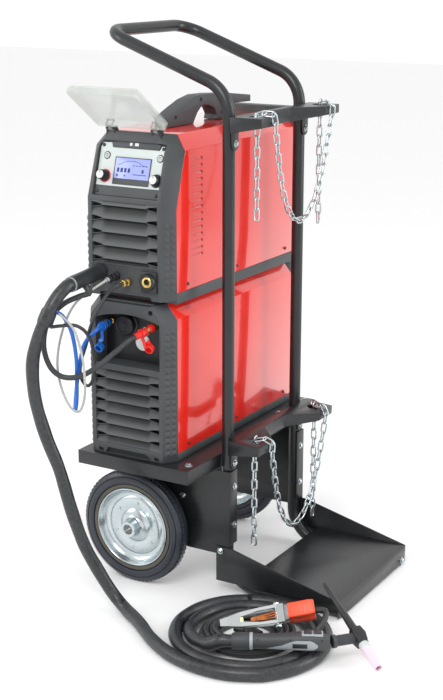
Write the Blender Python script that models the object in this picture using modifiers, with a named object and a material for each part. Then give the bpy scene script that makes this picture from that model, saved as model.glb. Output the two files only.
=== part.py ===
"""TIG welder on its trolley: power source, water cooler, frame, wheels, torch and earth clamp.

Lengths are metres. The uprights of the trolley stand in the plane x = 0, the machines' fronts face -Y,
and the floor is z = 0. Everything hangs on one empty, which moves the trolley so that the middle of its
footprint is the origin.
"""

import math

import bmesh
import bpy
from mathutils import Matrix, Vector

GAP = 0.0003

# Tubular frame
TUBE_R = 0.0125
TUBE_Y = 0.149
FOOT_END = 0.2675
FOOT_BEND = 0.075
TOP_BEND = 0.072
BEND_Z = 1.049
HANDLE_X = -0.285
HANDLE_Z = 1.155
HANDLE_CORNER = 0.048
ARM_SPLIT = 0.075

# Wheels
WHEEL_R = 0.125
WHEEL_X = -0.196
WHEEL_Y = 0.203
TYRE_HALF = 0.019
RIM_R = 0.087
HUB_HALF = 0.032
HUB_R = 0.018
AXLE_R = 0.010
AXLE_HALF = 0.2345
BORE_R = 0.01012

# Shelf, side plates and toe plate
SHEET = 0.0025
SHELF_X = (-0.285, -0.0155)
SHELF_Y = 0.283
SHELF_Z = 0.304
SHELF_FLANGE = 0.029
SIDE_Y = 0.167
SIDE_BOTTOM = 0.085
SIDE_TOP = 0.271
SIDE_BACK = -0.240
TOE_X = (0.056, 0.271)
TOE_Z = 0.042
TOE_FLOOR = 0.004
GUSSET_Z = (0.0257, 0.103)

# Bottle cradles
CRADLE_BACK = TUBE_R + GAP
CRADLE_TIP = 0.084
CRADLE_NOTCH = 0.031
CRADLE_Y = 0.169
TIP_Y = 0.107
NOTCH_Y = 0.047
FLANGE_ROOT = 0.032
FLANGE_TIP = 0.018
HOLE_R = 0.016
HOLE_AT = (0.056, 0.136)
UPPER_CRADLE_Z = 1.001
LOWER_CRADLE_Z = 0.341
LOWER_TILT = math.radians(4.0)

# Machines: both cases are centred on MID_X, and the front bezels flare from FACE_HALF to CASE_HALF
MID_X = -0.169
CASE_HALF = 0.105
FACE_HALF = 0.086
FRONT_Y = -0.269
SEAM_Y = -0.241
REAR_Y = 0.249
BACK_Y = 0.281
CASE_SHEET = 0.0015
CHAMFER = (0.024, 0.030)
WALL = 0.003
COOLER_Z = 0.3048
COOLER_CASE_Z = (0.3215, 0.6340)
POWER_Z = 0.6343
POWER_BEZEL_Z = 0.6415
POWER_CASE_Z = (0.6570, 0.9650)
BEZEL_POCKET = 0.018
REAR_TOP = 0.014
REAR_SINK = 0.022
GROOVE = 0.012

# Leaning control panel: it starts at FACE_TURN and leans back by LEAN
LEAN = math.radians(17.0)
FACE_TURN = 0.838
FACE_TOP = 0.968
SEAM_TURN = 0.824
SHOULDER = (0.0805, 0.928)
CROWN = (0.057, 0.968)
PANEL_SINK = 0.010
PANEL_HALF = 0.077
PANEL_S = (0.006, 0.116)
PANEL_TOP = -0.0067

# Panel controls: (x, distance up the panel)
KNOB_LEFT = (-0.2250, 0.046)
KNOB_RIGHT = (-0.1035, 0.044)
BUTTON_LEFT = (-0.2265, 0.087)
BUTTON_RIGHT = (-0.1020, 0.088)
BUTTON_R = 0.006
LCD_X = (-0.2035, -0.1220)
LCD_S = (0.032, 0.084)

# Clear lid over the panel, drawn shut and then opened by LID_OPEN about its hinge
LID_HINGE = (-0.230, 0.972)
LID_HALF = 0.079
LID_S = (0.003, 0.131)
LID_N = (0.0005, 0.0175)
LID_ARM_X = (-0.222, -0.116)
LID_OPEN = math.radians(108.0)
LID_REACH = 0.3426

# Cooler: the recess of its fittings
RECESS_X = (-0.243, -0.089)
RECESS_Z = (0.499, 0.607)
RECESS_BACK = -0.229
FILLER = (-0.189, 0.577)
FILLER_R = 0.019
BLUE_COUPLING = ((-0.2277, -0.2320, 0.580), (-0.211, -0.300, 0.581))
RED_COUPLING = ((-0.1043, -0.2325, 0.591), (-0.126, -0.300, 0.573))
COUPLING_R = 0.0075

# Front connections of the power source
PLUG_FRONT = FRONT_Y - GAP
TORCH_PLUG = ((-0.2275, PLUG_FRONT - 0.0014, 0.690), (-0.2245, -0.375, 0.683))
TORCH_PLUG_R = 0.0155
CONTROL_PLUG = ((-0.188, PLUG_FRONT - 0.0013, 0.6845), (-0.190, -0.299, 0.6815))
CONTROL_PLUG_R = 0.008
GAS_FITTING = ((-0.160, PLUG_FRONT - 0.0013, 0.6755), (-0.163, -0.290, 0.674))
GAS_FITTING_R = 0.0065
EARTH_SOCKET = (-0.111, 0.681)
SOCKET_PLATE = 0.020
SOCKET_R = 0.0175
SOCKET_BORE = 0.0065

# Chains
CHAIN_R = 0.0035
CHAIN_X = (0.056, 0.0895)
CHAIN_DROP = 0.221

# Cords: radius of each
TORCH_HOSE_R = 0.013
RED_HOSE_R = 0.0055
BLUE_HOSE_R = 0.004
GAS_HOSE_R = 0.0035
CONTROL_CABLE_R = 0.0025
EARTH_CABLE_R = 0.006

# Coils on the floor: centre, then (inner radius, outer radius)
COIL_AT = (0.150, -0.327)
TORCH_COIL = (0.105, 0.157)
EARTH_COIL = (0.045, 0.103)
EARTH_COIL_TOP = 0.024
FLOOR_GAP = 0.0002

# Torch, which lies on its coil
HANDLE_REAR = (0.169, -0.426, 0.0435)
HANDLE_FRONT = (0.335, -0.340, 0.046)
HEAD_AT = (0.375, -0.296, 0.047)
CUP_END = (0.438, -0.343, 0.020)
CAP_TIP = (0.257, -0.208, 0.095)
NECK_R = 0.0105
HEAD_R = 0.0115

# Earth clamp, which lies on the coil behind the torch
CLAMP_TIP = (0.120, -0.385, 0.050)
CLAMP_END = (0.278, -0.292, 0.080)
CLAMP_ROLL = math.radians(50.0)
CLAMP_PIVOT = 0.112


def clear_scene():
    for obj in list(bpy.data.objects):
        bpy.data.objects.remove(obj, do_unlink=True)


clear_scene()
PARTS = bpy.data.collections.new("tig_welder")
CUTTERS = bpy.data.collections.new("cutters")
bpy.context.scene.collection.children.link(PARTS)
bpy.context.scene.collection.children.link(CUTTERS)
ROOT = bpy.data.objects.new("assembly", None)
PARTS.objects.link(ROOT)
ROOT.location.x = -(WHEEL_X - WHEEL_R + TOE_X[1]) / 2
ROOT.location.y = (LID_REACH - SHELF_Y) / 2


# ---------------------------------------------------------------- materials


def material(name, color, roughness, metallic=0.0, alpha=1.0):
    found = bpy.data.materials.get(name)
    if found:
        return found
    made = bpy.data.materials.new(name)
    made.use_nodes = True
    shader = made.node_tree.nodes["Principled BSDF"]
    shader.inputs["Base Color"].default_value = (*color, 1.0)
    shader.inputs["Roughness"].default_value = roughness
    shader.inputs["Metallic"].default_value = metallic
    shader.inputs["Alpha"].default_value = alpha
    return made


def powder_black():
    return material("powder_black", (0.020, 0.021, 0.023), 0.38)


def zinc():
    return material("zinc", (0.66, 0.69, 0.71), 0.28, 1.0)


def tyre_rubber():
    return material("tyre_rubber", (0.035, 0.037, 0.042), 0.65)


def red_paint():
    return material("red_paint", (0.78, 0.030, 0.012), 0.25)


def bezel_plastic():
    return material("bezel_plastic", (0.055, 0.058, 0.062), 0.55)


def black_plastic():
    return material("black_plastic", (0.015, 0.015, 0.017), 0.45)


def hose_rubber():
    return material("hose_rubber", (0.045, 0.050, 0.052), 0.60)


def grey_metal():
    return material("grey_metal", (0.30, 0.31, 0.31), 0.45, 1.0)


def clear_plastic():
    return material("clear_plastic", (0.80, 0.84, 0.84), 0.10, 0.0, 0.35)


def screen_glass():
    return material("screen_glass", (0.30, 0.36, 0.40), 0.10)


def knob_plastic():
    return material("knob_plastic", (0.62, 0.63, 0.63), 0.35)


def blue_plastic():
    return material("blue_plastic", (0.02, 0.12, 0.60), 0.35)


def red_plastic():
    return material("red_plastic", (0.75, 0.02, 0.01), 0.35)


def grey_cable():
    return material("grey_cable", (0.40, 0.41, 0.40), 0.50)


def pink_ceramic():
    return material("pink_ceramic", (0.85, 0.55, 0.62), 0.30)


def brass():
    return material("brass", (0.80, 0.60, 0.22), 0.25, 1.0)


def steel():
    return material("steel", (0.42, 0.40, 0.38), 0.38, 1.0)


# ---------------------------------------------------------------- modelling helpers


def add(name, data, surface, helper=False):
    """Links an object of this mesh or curve, under the assembly or among the cutters."""
    obj = bpy.data.objects.new(name, data)
    if surface is not None:
        data.materials.clear()
        data.materials.append(surface)
    (CUTTERS if helper else PARTS).objects.link(obj)
    obj.parent = ROOT
    if helper:
        obj.hide_render = True
        obj.display_type = "WIRE"
    return obj


def from_bmesh(name, bm, surface, helper=False, smooth=None):
    mesh = bpy.data.meshes.new(name)
    bmesh.ops.recalc_face_normals(bm, faces=bm.faces)
    bm.to_mesh(mesh)
    bm.free()
    if smooth is not None:
        mesh.shade_smooth()
        mesh.set_sharp_from_angle(angle=math.radians(smooth))
    return add(name, mesh, surface, helper)


def box(name, low, high, surface, helper=False):
    """A box from its lowest corner to its highest."""
    bm = bmesh.new()
    bmesh.ops.create_cube(bm, size=1.0)
    size = Vector(high) - Vector(low)
    bmesh.ops.scale(bm, vec=size, verts=bm.verts)
    bmesh.ops.translate(bm, vec=(Vector(high) + Vector(low)) / 2, verts=bm.verts)
    return from_bmesh(name, bm, surface, helper)


def cylinder(name, start, end, radius, surface, helper=False, segments=24, end_radius=None):
    """A cylinder, or a cone, between two points."""
    start = Vector(start)
    line = Vector(end) - start
    bm = bmesh.new()
    bmesh.ops.create_cone(
        bm,
        cap_ends=True,
        segments=segments,
        radius1=radius,
        radius2=radius if end_radius is None else end_radius,
        depth=line.length,
    )
    turn = line.to_track_quat("Z", "Y").to_matrix().to_4x4()
    bmesh.ops.transform(bm, matrix=Matrix.Translation(start + line / 2) @ turn, verts=bm.verts)
    return from_bmesh(name, bm, surface, helper, smooth=40)


def hull(name, points, surface, helper=False):
    """The convex solid through these corners."""
    bm = bmesh.new()
    for point in points:
        bm.verts.new(point)
    bmesh.ops.convex_hull(bm, input=bm.verts)
    bmesh.ops.dissolve_limit(bm, angle_limit=0.001, verts=bm.verts, edges=bm.edges)
    return from_bmesh(name, bm, surface, helper)


def arc(cx, cy, radius, start, end, count):
    """Points on a circle, from one angle in degrees to another."""
    steps = [math.radians(start + (end - start) * i / count) for i in range(count + 1)]
    return [(cx + radius * math.cos(a), cy + radius * math.sin(a)) for a in steps]


# Each plane maps an outline's (u, v) and its normal to the part's axes.
PLANES = {
    "XY": Matrix(((1, 0, 0, 0), (0, 1, 0, 0), (0, 0, 1, 0), (0, 0, 0, 1))),
    "XZ": Matrix(((1, 0, 0, 0), (0, 0, -1, 0), (0, 1, 0, 0), (0, 0, 0, 1))),
    "YZ": Matrix(((0, 0, 1, 0), (1, 0, 0, 0), (0, 1, 0, 0), (0, 0, 0, 1))),
}


def slab(name, outline, plane, low, high, surface, helper=False):
    """A flat outline in a plane, thickened from low to high along the third axis."""
    curve = bpy.data.curves.new(name, "CURVE")
    curve.dimensions = "2D"
    curve.fill_mode = "BOTH"
    curve.extrude = (high - low) / 2
    spline = curve.splines.new("POLY")
    spline.points.add(len(outline) - 1)
    for point, (u, v) in zip(spline.points, outline):
        point.co = (u, v, 0, 1)
    spline.use_cyclic_u = True
    drawn = bpy.data.objects.new(name + "_outline", curve)
    CUTTERS.objects.link(drawn)
    mesh = bpy.data.meshes.new_from_object(drawn.evaluated_get(bpy.context.evaluated_depsgraph_get()))
    bpy.data.objects.remove(drawn)
    bm = bmesh.new()
    bm.from_mesh(mesh)
    bmesh.ops.remove_doubles(bm, verts=bm.verts, dist=1e-6)
    middle = (low + high) / 2
    along = Matrix.Translation((0, 0, -middle if plane == "XZ" else middle))
    bmesh.ops.transform(bm, matrix=PLANES[plane] @ along, verts=bm.verts)
    return from_bmesh(name, bm, surface, helper)


def boolean(target, other, operation):
    modifier = target.modifiers.new(operation.lower(), "BOOLEAN")
    modifier.operation = operation
    modifier.solver = "EXACT"
    modifier.object = other
    return target


def cut(target, *others):
    for other in others:
        boolean(target, other, "DIFFERENCE")
    return target


def fuse(target, *others):
    for other in others:
        boolean(target, other, "UNION")
    return target


def tube(name, points, radius, surface, sides=2):
    """A round bar or hose through a list of points, with closed ends."""
    curve = bpy.data.curves.new(name, "CURVE")
    curve.dimensions = "3D"
    curve.bevel_depth = radius
    curve.bevel_resolution = sides
    curve.use_fill_caps = True
    spline = curve.splines.new("POLY")
    spline.points.add(len(points) - 1)
    for point, place in zip(spline.points, points):
        point.co = (*place, 1)
        point.tilt = 0
    spline.use_smooth = True
    return add(name, curve, surface)


def turned(name, profile, centre, along, surface, steps=40):
    """A profile of (radius, height) turned about an axis; closed when it doesn't start and end at radius 0."""
    ring = zip(profile, profile[1:] + profile[:1])
    if sum(r * next_h - next_r * h for (r, h), (next_r, next_h) in ring) > 0:
        profile = profile[::-1]
    bm = bmesh.new()
    corners = [bm.verts.new((radius, 0, height)) for radius, height in profile]
    for first, second in zip(corners, corners[1:]):
        bm.edges.new((first, second))
    if profile[0][0] > 0:
        bm.edges.new((corners[-1], corners[0]))
    mesh = bpy.data.meshes.new(name)
    bm.to_mesh(mesh)
    bm.free()
    obj = add(name, mesh, surface)
    modifier = obj.modifiers.new("turn", "SCREW")
    modifier.steps = steps
    modifier.render_steps = steps
    modifier.use_merge_vertices = True
    modifier.merge_threshold = 1e-6
    modifier.use_smooth_shade = True
    obj.location = centre
    obj.rotation_euler = Vector(along).to_track_quat("Z", "X").to_euler()
    return obj


def rounded_path(corners, radii, steps=6):
    """A path through these corners, with an arc of the given radius at each inner one."""
    path = [Vector(corners[0])]
    for before, corner, after, radius in zip(corners, corners[1:], corners[2:], radii):
        corner = Vector(corner)
        back = (Vector(before) - corner).normalized()
        on = (Vector(after) - corner).normalized()
        half = back.angle(on) / 2
        centre = corner + (back + on).normalized() * (radius / math.sin(half))
        first = corner + back * (radius / math.tan(half)) - centre
        last = corner + on * (radius / math.tan(half)) - centre
        sweep = first.angle(last)
        for i in range(steps + 1):
            t = i / steps
            reach = math.sin((1 - t) * sweep) * first + math.sin(t * sweep) * last
            path.append(centre + reach / math.sin(sweep))
    path.append(Vector(corners[-1]))
    return path


def smooth_route(points, spacing):
    """Points about this far apart on a smooth curve through a route's own points."""
    route = [Vector(p) for p in points]
    ends = [2 * route[0] - route[1]] + route + [2 * route[-1] - route[-2]]
    fine = []
    for a, b, c, d in zip(ends, ends[1:], ends[2:], ends[3:]):
        for i in range(16):
            t = i / 16
            fine.append(
                0.5 * (2 * b + (c - a) * t + (2 * a - 5 * b + 4 * c - d) * t**2 + (3 * b - a - 3 * c + d) * t**3)
            )
    fine.append(route[-1])
    total = sum((q - p).length for p, q in zip(fine, fine[1:]))
    count = max(2, round(total / spacing))
    wanted = [total * i / count for i in range(count + 1)]
    even = [fine[0]]
    walked = 0.0
    for p, q in zip(fine, fine[1:]):
        step = (q - p).length
        while len(even) < count and walked + step >= wanted[len(even)]:
            even.append(p.lerp(q, (wanted[len(even)] - walked) / step))
        walked += step
    even.append(fine[-1])
    return even


def pivot(obj, point):
    """Puts an object's origin on its joint's axis."""
    obj.data.transform(Matrix.Translation(-Vector(point)))
    obj.location = point
    return obj


def axes_at(origin, along, up):
    """A frame at a point: its X along a direction, its Z as near to up as it can be."""
    x = Vector(along).normalized()
    y = Vector(up).cross(x).normalized()
    z = x.cross(y)
    return Matrix.Translation(origin) @ Matrix((x, y, z)).transposed().to_4x4()


def placed(obj, frame):
    """Moves an object, drawn about the origin, into a frame."""
    obj.data.transform(frame)
    return obj


# ---------------------------------------------------------------- trolley frame


def frame_tubes():
    lean = Vector((HANDLE_X, 0, HANDLE_Z - BEND_Z)).normalized()
    for side, name in ((-1, "frame_tube_front"), (1, "frame_tube_rear")):
        y = side * TUBE_Y
        corners = [
            (FOOT_END, y, TUBE_R),
            (0, y, TUBE_R),
            (0, y, BEND_Z),
            Vector((0, y, BEND_Z)) + lean * ARM_SPLIT,
        ]
        tube(name, rounded_path(corners, [FOOT_BEND, TOP_BEND]), TUBE_R, powder_black(), 4)
    ends = [Vector((0, side * TUBE_Y, BEND_Z)) + lean * (ARM_SPLIT + GAP) for side in (-1, 1)]
    bow = [
        ends[0],
        (HANDLE_X, -TUBE_Y, HANDLE_Z),
        (HANDLE_X, TUBE_Y, HANDLE_Z),
        ends[1],
    ]
    tube("handle_bow", rounded_path(bow, [HANDLE_CORNER] * 2), TUBE_R, powder_black(), 4)


def cradle(name, top, tilt):
    """A folded plate with a notch for the bottle and a chain hole in each arm. Its flanges taper to the tips."""
    outline = [
        (CRADLE_BACK, -CRADLE_Y),
        (CRADLE_TIP, -CRADLE_Y),
        (CRADLE_TIP, -TIP_Y),
        (CRADLE_NOTCH, -NOTCH_Y),
        (CRADLE_NOTCH, NOTCH_Y),
        (CRADLE_TIP, TIP_Y),
        (CRADLE_TIP, CRADLE_Y),
        (CRADLE_BACK, CRADLE_Y),
    ]
    plate = slab(name, outline, "XY", top - FLANGE_ROOT, top, powder_black())
    taper = slab(
        name + "_taper",
        [(-0.01, top - FLANGE_ROOT - 0.01), (0.2, top - FLANGE_ROOT - 0.01), (0.2, top), (CRADLE_TIP, top - FLANGE_TIP)]
        + [(CRADLE_BACK, top - FLANGE_ROOT), (-0.01, top - FLANGE_ROOT)],
        "XZ",
        -0.2,
        0.2,
        None,
        helper=True,
    )
    inner = [
        (CRADLE_BACK - 0.01, -CRADLE_Y + SHEET),
        (CRADLE_TIP - SHEET, -CRADLE_Y + SHEET),
        (CRADLE_TIP - SHEET, -TIP_Y - SHEET),
        (CRADLE_NOTCH - SHEET, -NOTCH_Y - SHEET),
        (CRADLE_NOTCH - SHEET, NOTCH_Y + SHEET),
        (CRADLE_TIP - SHEET, TIP_Y + SHEET),
        (CRADLE_TIP - SHEET, CRADLE_Y - SHEET),
        (CRADLE_BACK - 0.01, CRADLE_Y - SHEET),
    ]
    hollow = slab(name + "_hollow", inner, "XY", top - 0.1, top - SHEET, None, helper=True)
    cut(plate, taper, hollow)
    for side in (-1, 1):
        x, y = HOLE_AT
        low, high = (x, side * y, top - 0.02), (x, side * y, top + 0.02)
        cut(plate, cylinder(name + "_hole", low, high, HOLE_R, None, helper=True))
    lean = Matrix.Translation((CRADLE_BACK, 0, top)) @ Matrix.Rotation(tilt, 4, "Y")
    lean = lean @ Matrix.Translation((-CRADLE_BACK, 0, -top))
    plate.data.transform(lean)
    for modifier in plate.modifiers:
        modifier.object.data.transform(lean)
    return plate


def side_plates():
    """Each plate carries the axle, and a flange folded round the front of the upright takes the bolts."""
    for side, name in ((-1, "side_plate_front"), (1, "side_plate_rear")):
        inside_shelf = SHELF_X[1] - SHEET - GAP
        outline = [
            (SIDE_BACK, SHELF_Z - SHEET - GAP),
            (SIDE_BACK, SIDE_BOTTOM),
            (TUBE_R + GAP + SHEET, SIDE_BOTTOM),
            (TUBE_R + GAP + SHEET, SIDE_TOP),
            (inside_shelf, SIDE_TOP),
            (inside_shelf, SHELF_Z - SHEET - GAP),
        ]
        faces = sorted((side * SIDE_Y, side * (SIDE_Y - SHEET)))
        plate = slab(name, outline, "XZ", *faces, powder_black())
        low_y, high_y = sorted((side * (SIDE_Y - SHEET / 2), side * (SIDE_Y - 0.031)))
        flange = box(
            name + "_flange",
            (TUBE_R + GAP, low_y, 0.108),
            (TUBE_R + GAP + SHEET, high_y, SIDE_TOP),
            None,
            helper=True,
        )
        fuse(plate, flange)
        hole = ((WHEEL_X, side * 0.14, WHEEL_R), (WHEEL_X, side * 0.20, WHEEL_R))
        cut(plate, cylinder(name + "_bore", *hole, AXLE_R + GAP, None, helper=True, segments=32))


def shelf():
    """A folded tray: a flat top with a flange all round."""
    low, high = (SHELF_X[0], -SHELF_Y, SHELF_Z - SHELF_FLANGE), (SHELF_X[1], SHELF_Y, SHELF_Z)
    tray = box("machine_shelf", low, high, powder_black())
    inner = box(
        "shelf_hollow",
        (SHELF_X[0] + SHEET, -SHELF_Y + SHEET, 0.2),
        (SHELF_X[1] - SHEET, SHELF_Y - SHEET, SHELF_Z - SHEET),
        None,
        helper=True,
    )
    return cut(tray, inner)


def toe():
    """The plate that the bottle stands on, with its front flange, welded between two gussets."""
    outline = [
        (TOE_X[0], TOE_Z),
        (TOE_X[0], TOE_Z - SHEET),
        (TOE_X[1] - SHEET, TOE_Z - SHEET),
        (TOE_X[1] - SHEET, TOE_FLOOR),
        (TOE_X[1], TOE_FLOOR),
        (TOE_X[1], TOE_Z),
    ]
    plate = slab("toe_plate", outline, "XZ", -SIDE_Y - SHEET / 2, SIDE_Y + SHEET / 2, powder_black())
    gusset = [
        (-0.0163, GUSSET_Z[0]),
        (TOE_X[1], GUSSET_Z[0]),
        (TOE_X[1], TOE_Z),
        (0.0227, GUSSET_Z[1]),
        (-0.0163, GUSSET_Z[1]),
    ]
    for side in (-1, 1):
        faces = sorted((side * (SIDE_Y + GAP), side * (SIDE_Y + GAP + SHEET)))
        fuse(plate, slab("gusset", gusset, "XZ", *faces, None, helper=True))


def wheels():
    tread = [
        (RIM_R + GAP, TYRE_HALF * 0.70),
        (RIM_R + 0.006, TYRE_HALF * 0.92),
        (RIM_R + 0.020, TYRE_HALF),
        (WHEEL_R - 0.010, TYRE_HALF * 0.92),
        (WHEEL_R - 0.002, TYRE_HALF * 0.60),
        (WHEEL_R, TYRE_HALF * 0.25),
    ]
    disc = [
        (RIM_R, TYRE_HALF * 0.86),
        (RIM_R - 0.005, TYRE_HALF * 0.90),
        (RIM_R - 0.014, TYRE_HALF * 0.30),
        (0.050, TYRE_HALF * 0.22),
        (HUB_R + 0.006, TYRE_HALF * 0.40),
        (HUB_R, TYRE_HALF * 0.55),
        (HUB_R, HUB_HALF),
        (BORE_R, HUB_HALF),
    ]
    for side, end in ((-1, "front"), (1, "rear")):
        centre = (WHEEL_X, side * WHEEL_Y, WHEEL_R)
        outward = (0, side, 0)
        tyre = tread + [(r, -h) for r, h in reversed(tread)]
        rim = list(reversed(disc)) + [(r, -h) for r, h in disc]
        turned("tyre_" + end, tyre, centre, outward, tyre_rubber(), 32)
        turned("wheel_rim_" + end, rim, centre, outward, zinc(), 32)
    cylinder(
        "axle",
        (WHEEL_X, -AXLE_HALF, WHEEL_R),
        (WHEEL_X, AXLE_HALF, WHEEL_R),
        AXLE_R,
        zinc(),
        segments=32,
    )


def chain(name, top, tip_top, tails):
    """A chain that hangs from hole to hole over the tips of a cradle, with a loose tail at each end."""
    hole_x, front_x = CHAIN_X
    hole_y = HOLE_AT[1]
    over = tip_top + CHAIN_R + GAP
    half = [
        (hole_x, hole_y, top - 0.014),
        (hole_x + 0.001, hole_y, over - 0.001),
        (hole_x + 0.010, hole_y - 0.002, over + 0.003),
        (front_x - 0.008, hole_y - 0.008, over + 0.003),
        (front_x + 0.001, hole_y - 0.012, over - 0.004),
    ]
    near = [(x, -y, z) for x, y, z in half]
    sag = []
    span = hole_y - 0.014
    for i in range(9):
        y = span * (i - 4) / 4
        rise = (math.cosh(2.2 * y / span) - 1) / (math.cosh(2.2) - 1)
        sag.append((front_x - 0.006 * (1 - rise), y, tip_top - 0.025 - (CHAIN_DROP - 0.025) * (1 - rise)))
    start, end = [(hole_x, side * hole_y, tail) for side, tail in zip((-1, 1), tails)]
    route = [start] + near + sag + half[::-1] + [end]
    tube(name, smooth_route(route, 0.016), CHAIN_R, zinc(), 1)


# ---------------------------------------------------------------- power source


def face_y(z):
    """The front face of the power source's bezel at a height."""
    return FRONT_Y + max(0.0, z - FACE_TURN) * math.tan(LEAN)


def seam_y(z):
    """The joint between that bezel and its case at a height."""
    return SEAM_Y + max(0.0, z - SEAM_TURN) * math.tan(LEAN)


# The leaning face's own axes: X across, Y up the face, Z out of it
ON_PANEL = Matrix.Translation((0, FRONT_Y, FACE_TURN)) @ Matrix.Rotation(math.pi / 2 - LEAN, 4, "X")
OUT_OF_PANEL = ON_PANEL.to_3x3() @ Vector((0, 0, 1))


def across(half, *rest):
    """The two points at this distance either side of the machines' middle."""
    return [(MID_X + side * half, *rest) for side in (-1, 1)]


def case_shell(name, heights, ends):
    """A folded sheet: two sides and a top with bevelled corners, open below."""
    low, high = heights
    run, rise = CHAMFER
    inside = CASE_HALF - CASE_SHEET
    top = high - CASE_SHEET
    right = [(CASE_HALF, low), (CASE_HALF, high - rise), (CASE_HALF - run, high)]
    inner = [(CASE_HALF - run, top), (inside, top - rise), (inside, low)]
    outline = right + [(-x, z) for x, z in reversed(right)]
    outline += [(-x, z) for x, z in reversed(inner)] + inner
    outline = [(MID_X + x, z) for x, z in outline]
    return slab(name, outline, "XZ", *ends, red_paint())


def base_tray(name, low, high):
    """A tray with a floor and four walls."""
    ends = (SEAM_Y + GAP, REAR_Y - GAP)
    left, right = MID_X - CASE_HALF, MID_X + CASE_HALF
    tray = box(name, (left, ends[0], low), (right, ends[1], high), bezel_plastic())
    inside = ((left + WALL, ends[0] + WALL, low + WALL), (right - WALL, ends[1] - WALL, high + 0.01))
    return cut(tray, box(name + "_inside", *inside, None, helper=True))


def rear_bezel(name, low, high):
    """The rear moulding, with a sunk face for the switch and the inlets."""
    run, rise = CHAMFER
    right = [(CASE_HALF, low), (CASE_HALF, high - rise), (CASE_HALF - run, high)]
    outline = [(MID_X + x, z) for x, z in right + [(-x, z) for x, z in reversed(right)]]
    bezel = slab(name, outline, "XZ", REAR_Y, BACK_Y, bezel_plastic())
    low_corner = (MID_X - CASE_HALF + 0.012, BACK_Y - REAR_SINK, low + 0.012)
    high_corner = (MID_X + CASE_HALF - 0.012, BACK_Y + 0.01, high - 0.034)
    return cut(bezel, box(name + "_sunk", low_corner, high_corner, None, helper=True))


def grooves(bezel, first, pitch, count):
    """Ventilation grooves across a front bezel."""
    for i in range(count):
        z = first + pitch * i
        low, high = (MID_X - 0.070, FRONT_Y - 0.01, z), (MID_X + 0.070, FRONT_Y + 0.008, z + GROOVE)
        cut(bezel, box(f"{bezel.name}_groove_{i}", low, high, None, helper=True))


def power_case():
    case = case_shell("welder_case", POWER_CASE_Z, (SEAM_Y + GAP, REAR_Y - GAP))
    front = [
        (SEAM_Y - 0.05, SEAM_TURN - 0.01),
        (SEAM_Y + GAP, SEAM_TURN - 0.01),
        (SEAM_Y + GAP, SEAM_TURN),
        (seam_y(1.0) + GAP, 1.0),
        (SEAM_Y - 0.05, 1.0),
    ]
    cut(case, slab("case_front", front, "YZ", -0.3, -0.04, None, helper=True))


def power_bezel():
    """The front moulding: above FACE_TURN its face leans back, and its sides flare to the case's width."""
    run, rise = CHAMFER
    top = POWER_CASE_Z[1]
    corners = across(FACE_HALF, FRONT_Y, POWER_BEZEL_Z) + across(FACE_HALF, FRONT_Y, FACE_TURN)
    corners += across(SHOULDER[0], face_y(SHOULDER[1]), SHOULDER[1])
    corners += across(CROWN[0], face_y(CROWN[1]), CROWN[1])
    corners += across(CASE_HALF, SEAM_Y, POWER_BEZEL_Z) + across(CASE_HALF, SEAM_Y, SEAM_TURN)
    corners += across(CASE_HALF, seam_y(top - rise), top - rise) + across(CASE_HALF - run, seam_y(top), top)
    bezel = hull("welder_front_bezel", corners, bezel_plastic())
    behind = [(SEAM_Y, 0.6), (SEAM_Y, SEAM_TURN), (seam_y(1.0), 1.0), (0.1, 1.0), (0.1, 0.6)]
    cut(bezel, slab("bezel_behind", behind, "YZ", -0.3, -0.04, None, helper=True))
    pocket = [
        (SEAM_Y - BEZEL_POCKET, POWER_CASE_Z[0]),
        (SEAM_Y - BEZEL_POCKET, SEAM_TURN),
        (seam_y(0.92) - BEZEL_POCKET, 0.92),
        (seam_y(0.92) + 0.01, 0.92),
        (SEAM_Y + 0.01, POWER_CASE_Z[0]),
    ]
    inside = MID_X - PANEL_HALF, MID_X + PANEL_HALF
    cut(bezel, slab("bezel_pocket", pocket, "YZ", *inside, None, helper=True))
    sunk = box(
        "panel_sunk",
        (MID_X - PANEL_HALF, PANEL_S[0], -PANEL_SINK),
        (MID_X + PANEL_HALF, PANEL_S[1], 0.02),
        None,
        helper=True,
    )
    cut(bezel, placed(sunk, ON_PANEL))
    grooves(bezel, 0.717, 0.027, 4)
    hinge_y, hinge_z = LID_HINGE
    for x in LID_ARM_X:
        low, high = (x - 0.012, hinge_y - 0.0004, 0.955), (x + 0.012, hinge_y + 0.010, 0.9770)
        fuse(bezel, box("hinge_block", low, high, None, helper=True))
        slot = (x - 0.0053, hinge_y - 0.02, hinge_z - 0.0105), (x + 0.0053, hinge_y + 0.0055, 1.0)
        cut(bezel, box("hinge_slot", *slot, None, helper=True))


def control_panel():
    low = (MID_X - PANEL_HALF + GAP, PANEL_S[0] + GAP, -PANEL_SINK + GAP)
    high = (MID_X + PANEL_HALF - GAP, PANEL_S[1] - GAP, PANEL_TOP)
    panel = placed(box("control_panel", low, high, black_plastic()), ON_PANEL)
    for x, s in (BUTTON_LEFT, BUTTON_RIGHT):
        ends = [ON_PANEL @ Vector((x, s, n)) for n in (-0.02, 0.02)]
        cut(panel, cylinder("button_bore", *ends, BUTTON_R + GAP, None, helper=True, segments=20))
    glass = (LCD_X[0], LCD_S[0], PANEL_TOP + GAP), (LCD_X[1], LCD_S[1], PANEL_TOP + 0.0027)
    placed(box("lcd_screen", *glass, screen_glass()), ON_PANEL)


def control_knob(name, place, reach):
    foot = ON_PANEL @ Vector((*place, PANEL_TOP + GAP))
    skirt, waist, cap = 0.0115, 0.0100, 0.0085
    profile = [(0, 0), (skirt, 0), (skirt, 0.003), (waist, 0.0042), (cap, reach - 0.001), (cap - 0.001, reach)]
    profile.append((0, reach))
    turned(name, profile, foot, OUT_OF_PANEL, knob_plastic(), 24)


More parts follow.
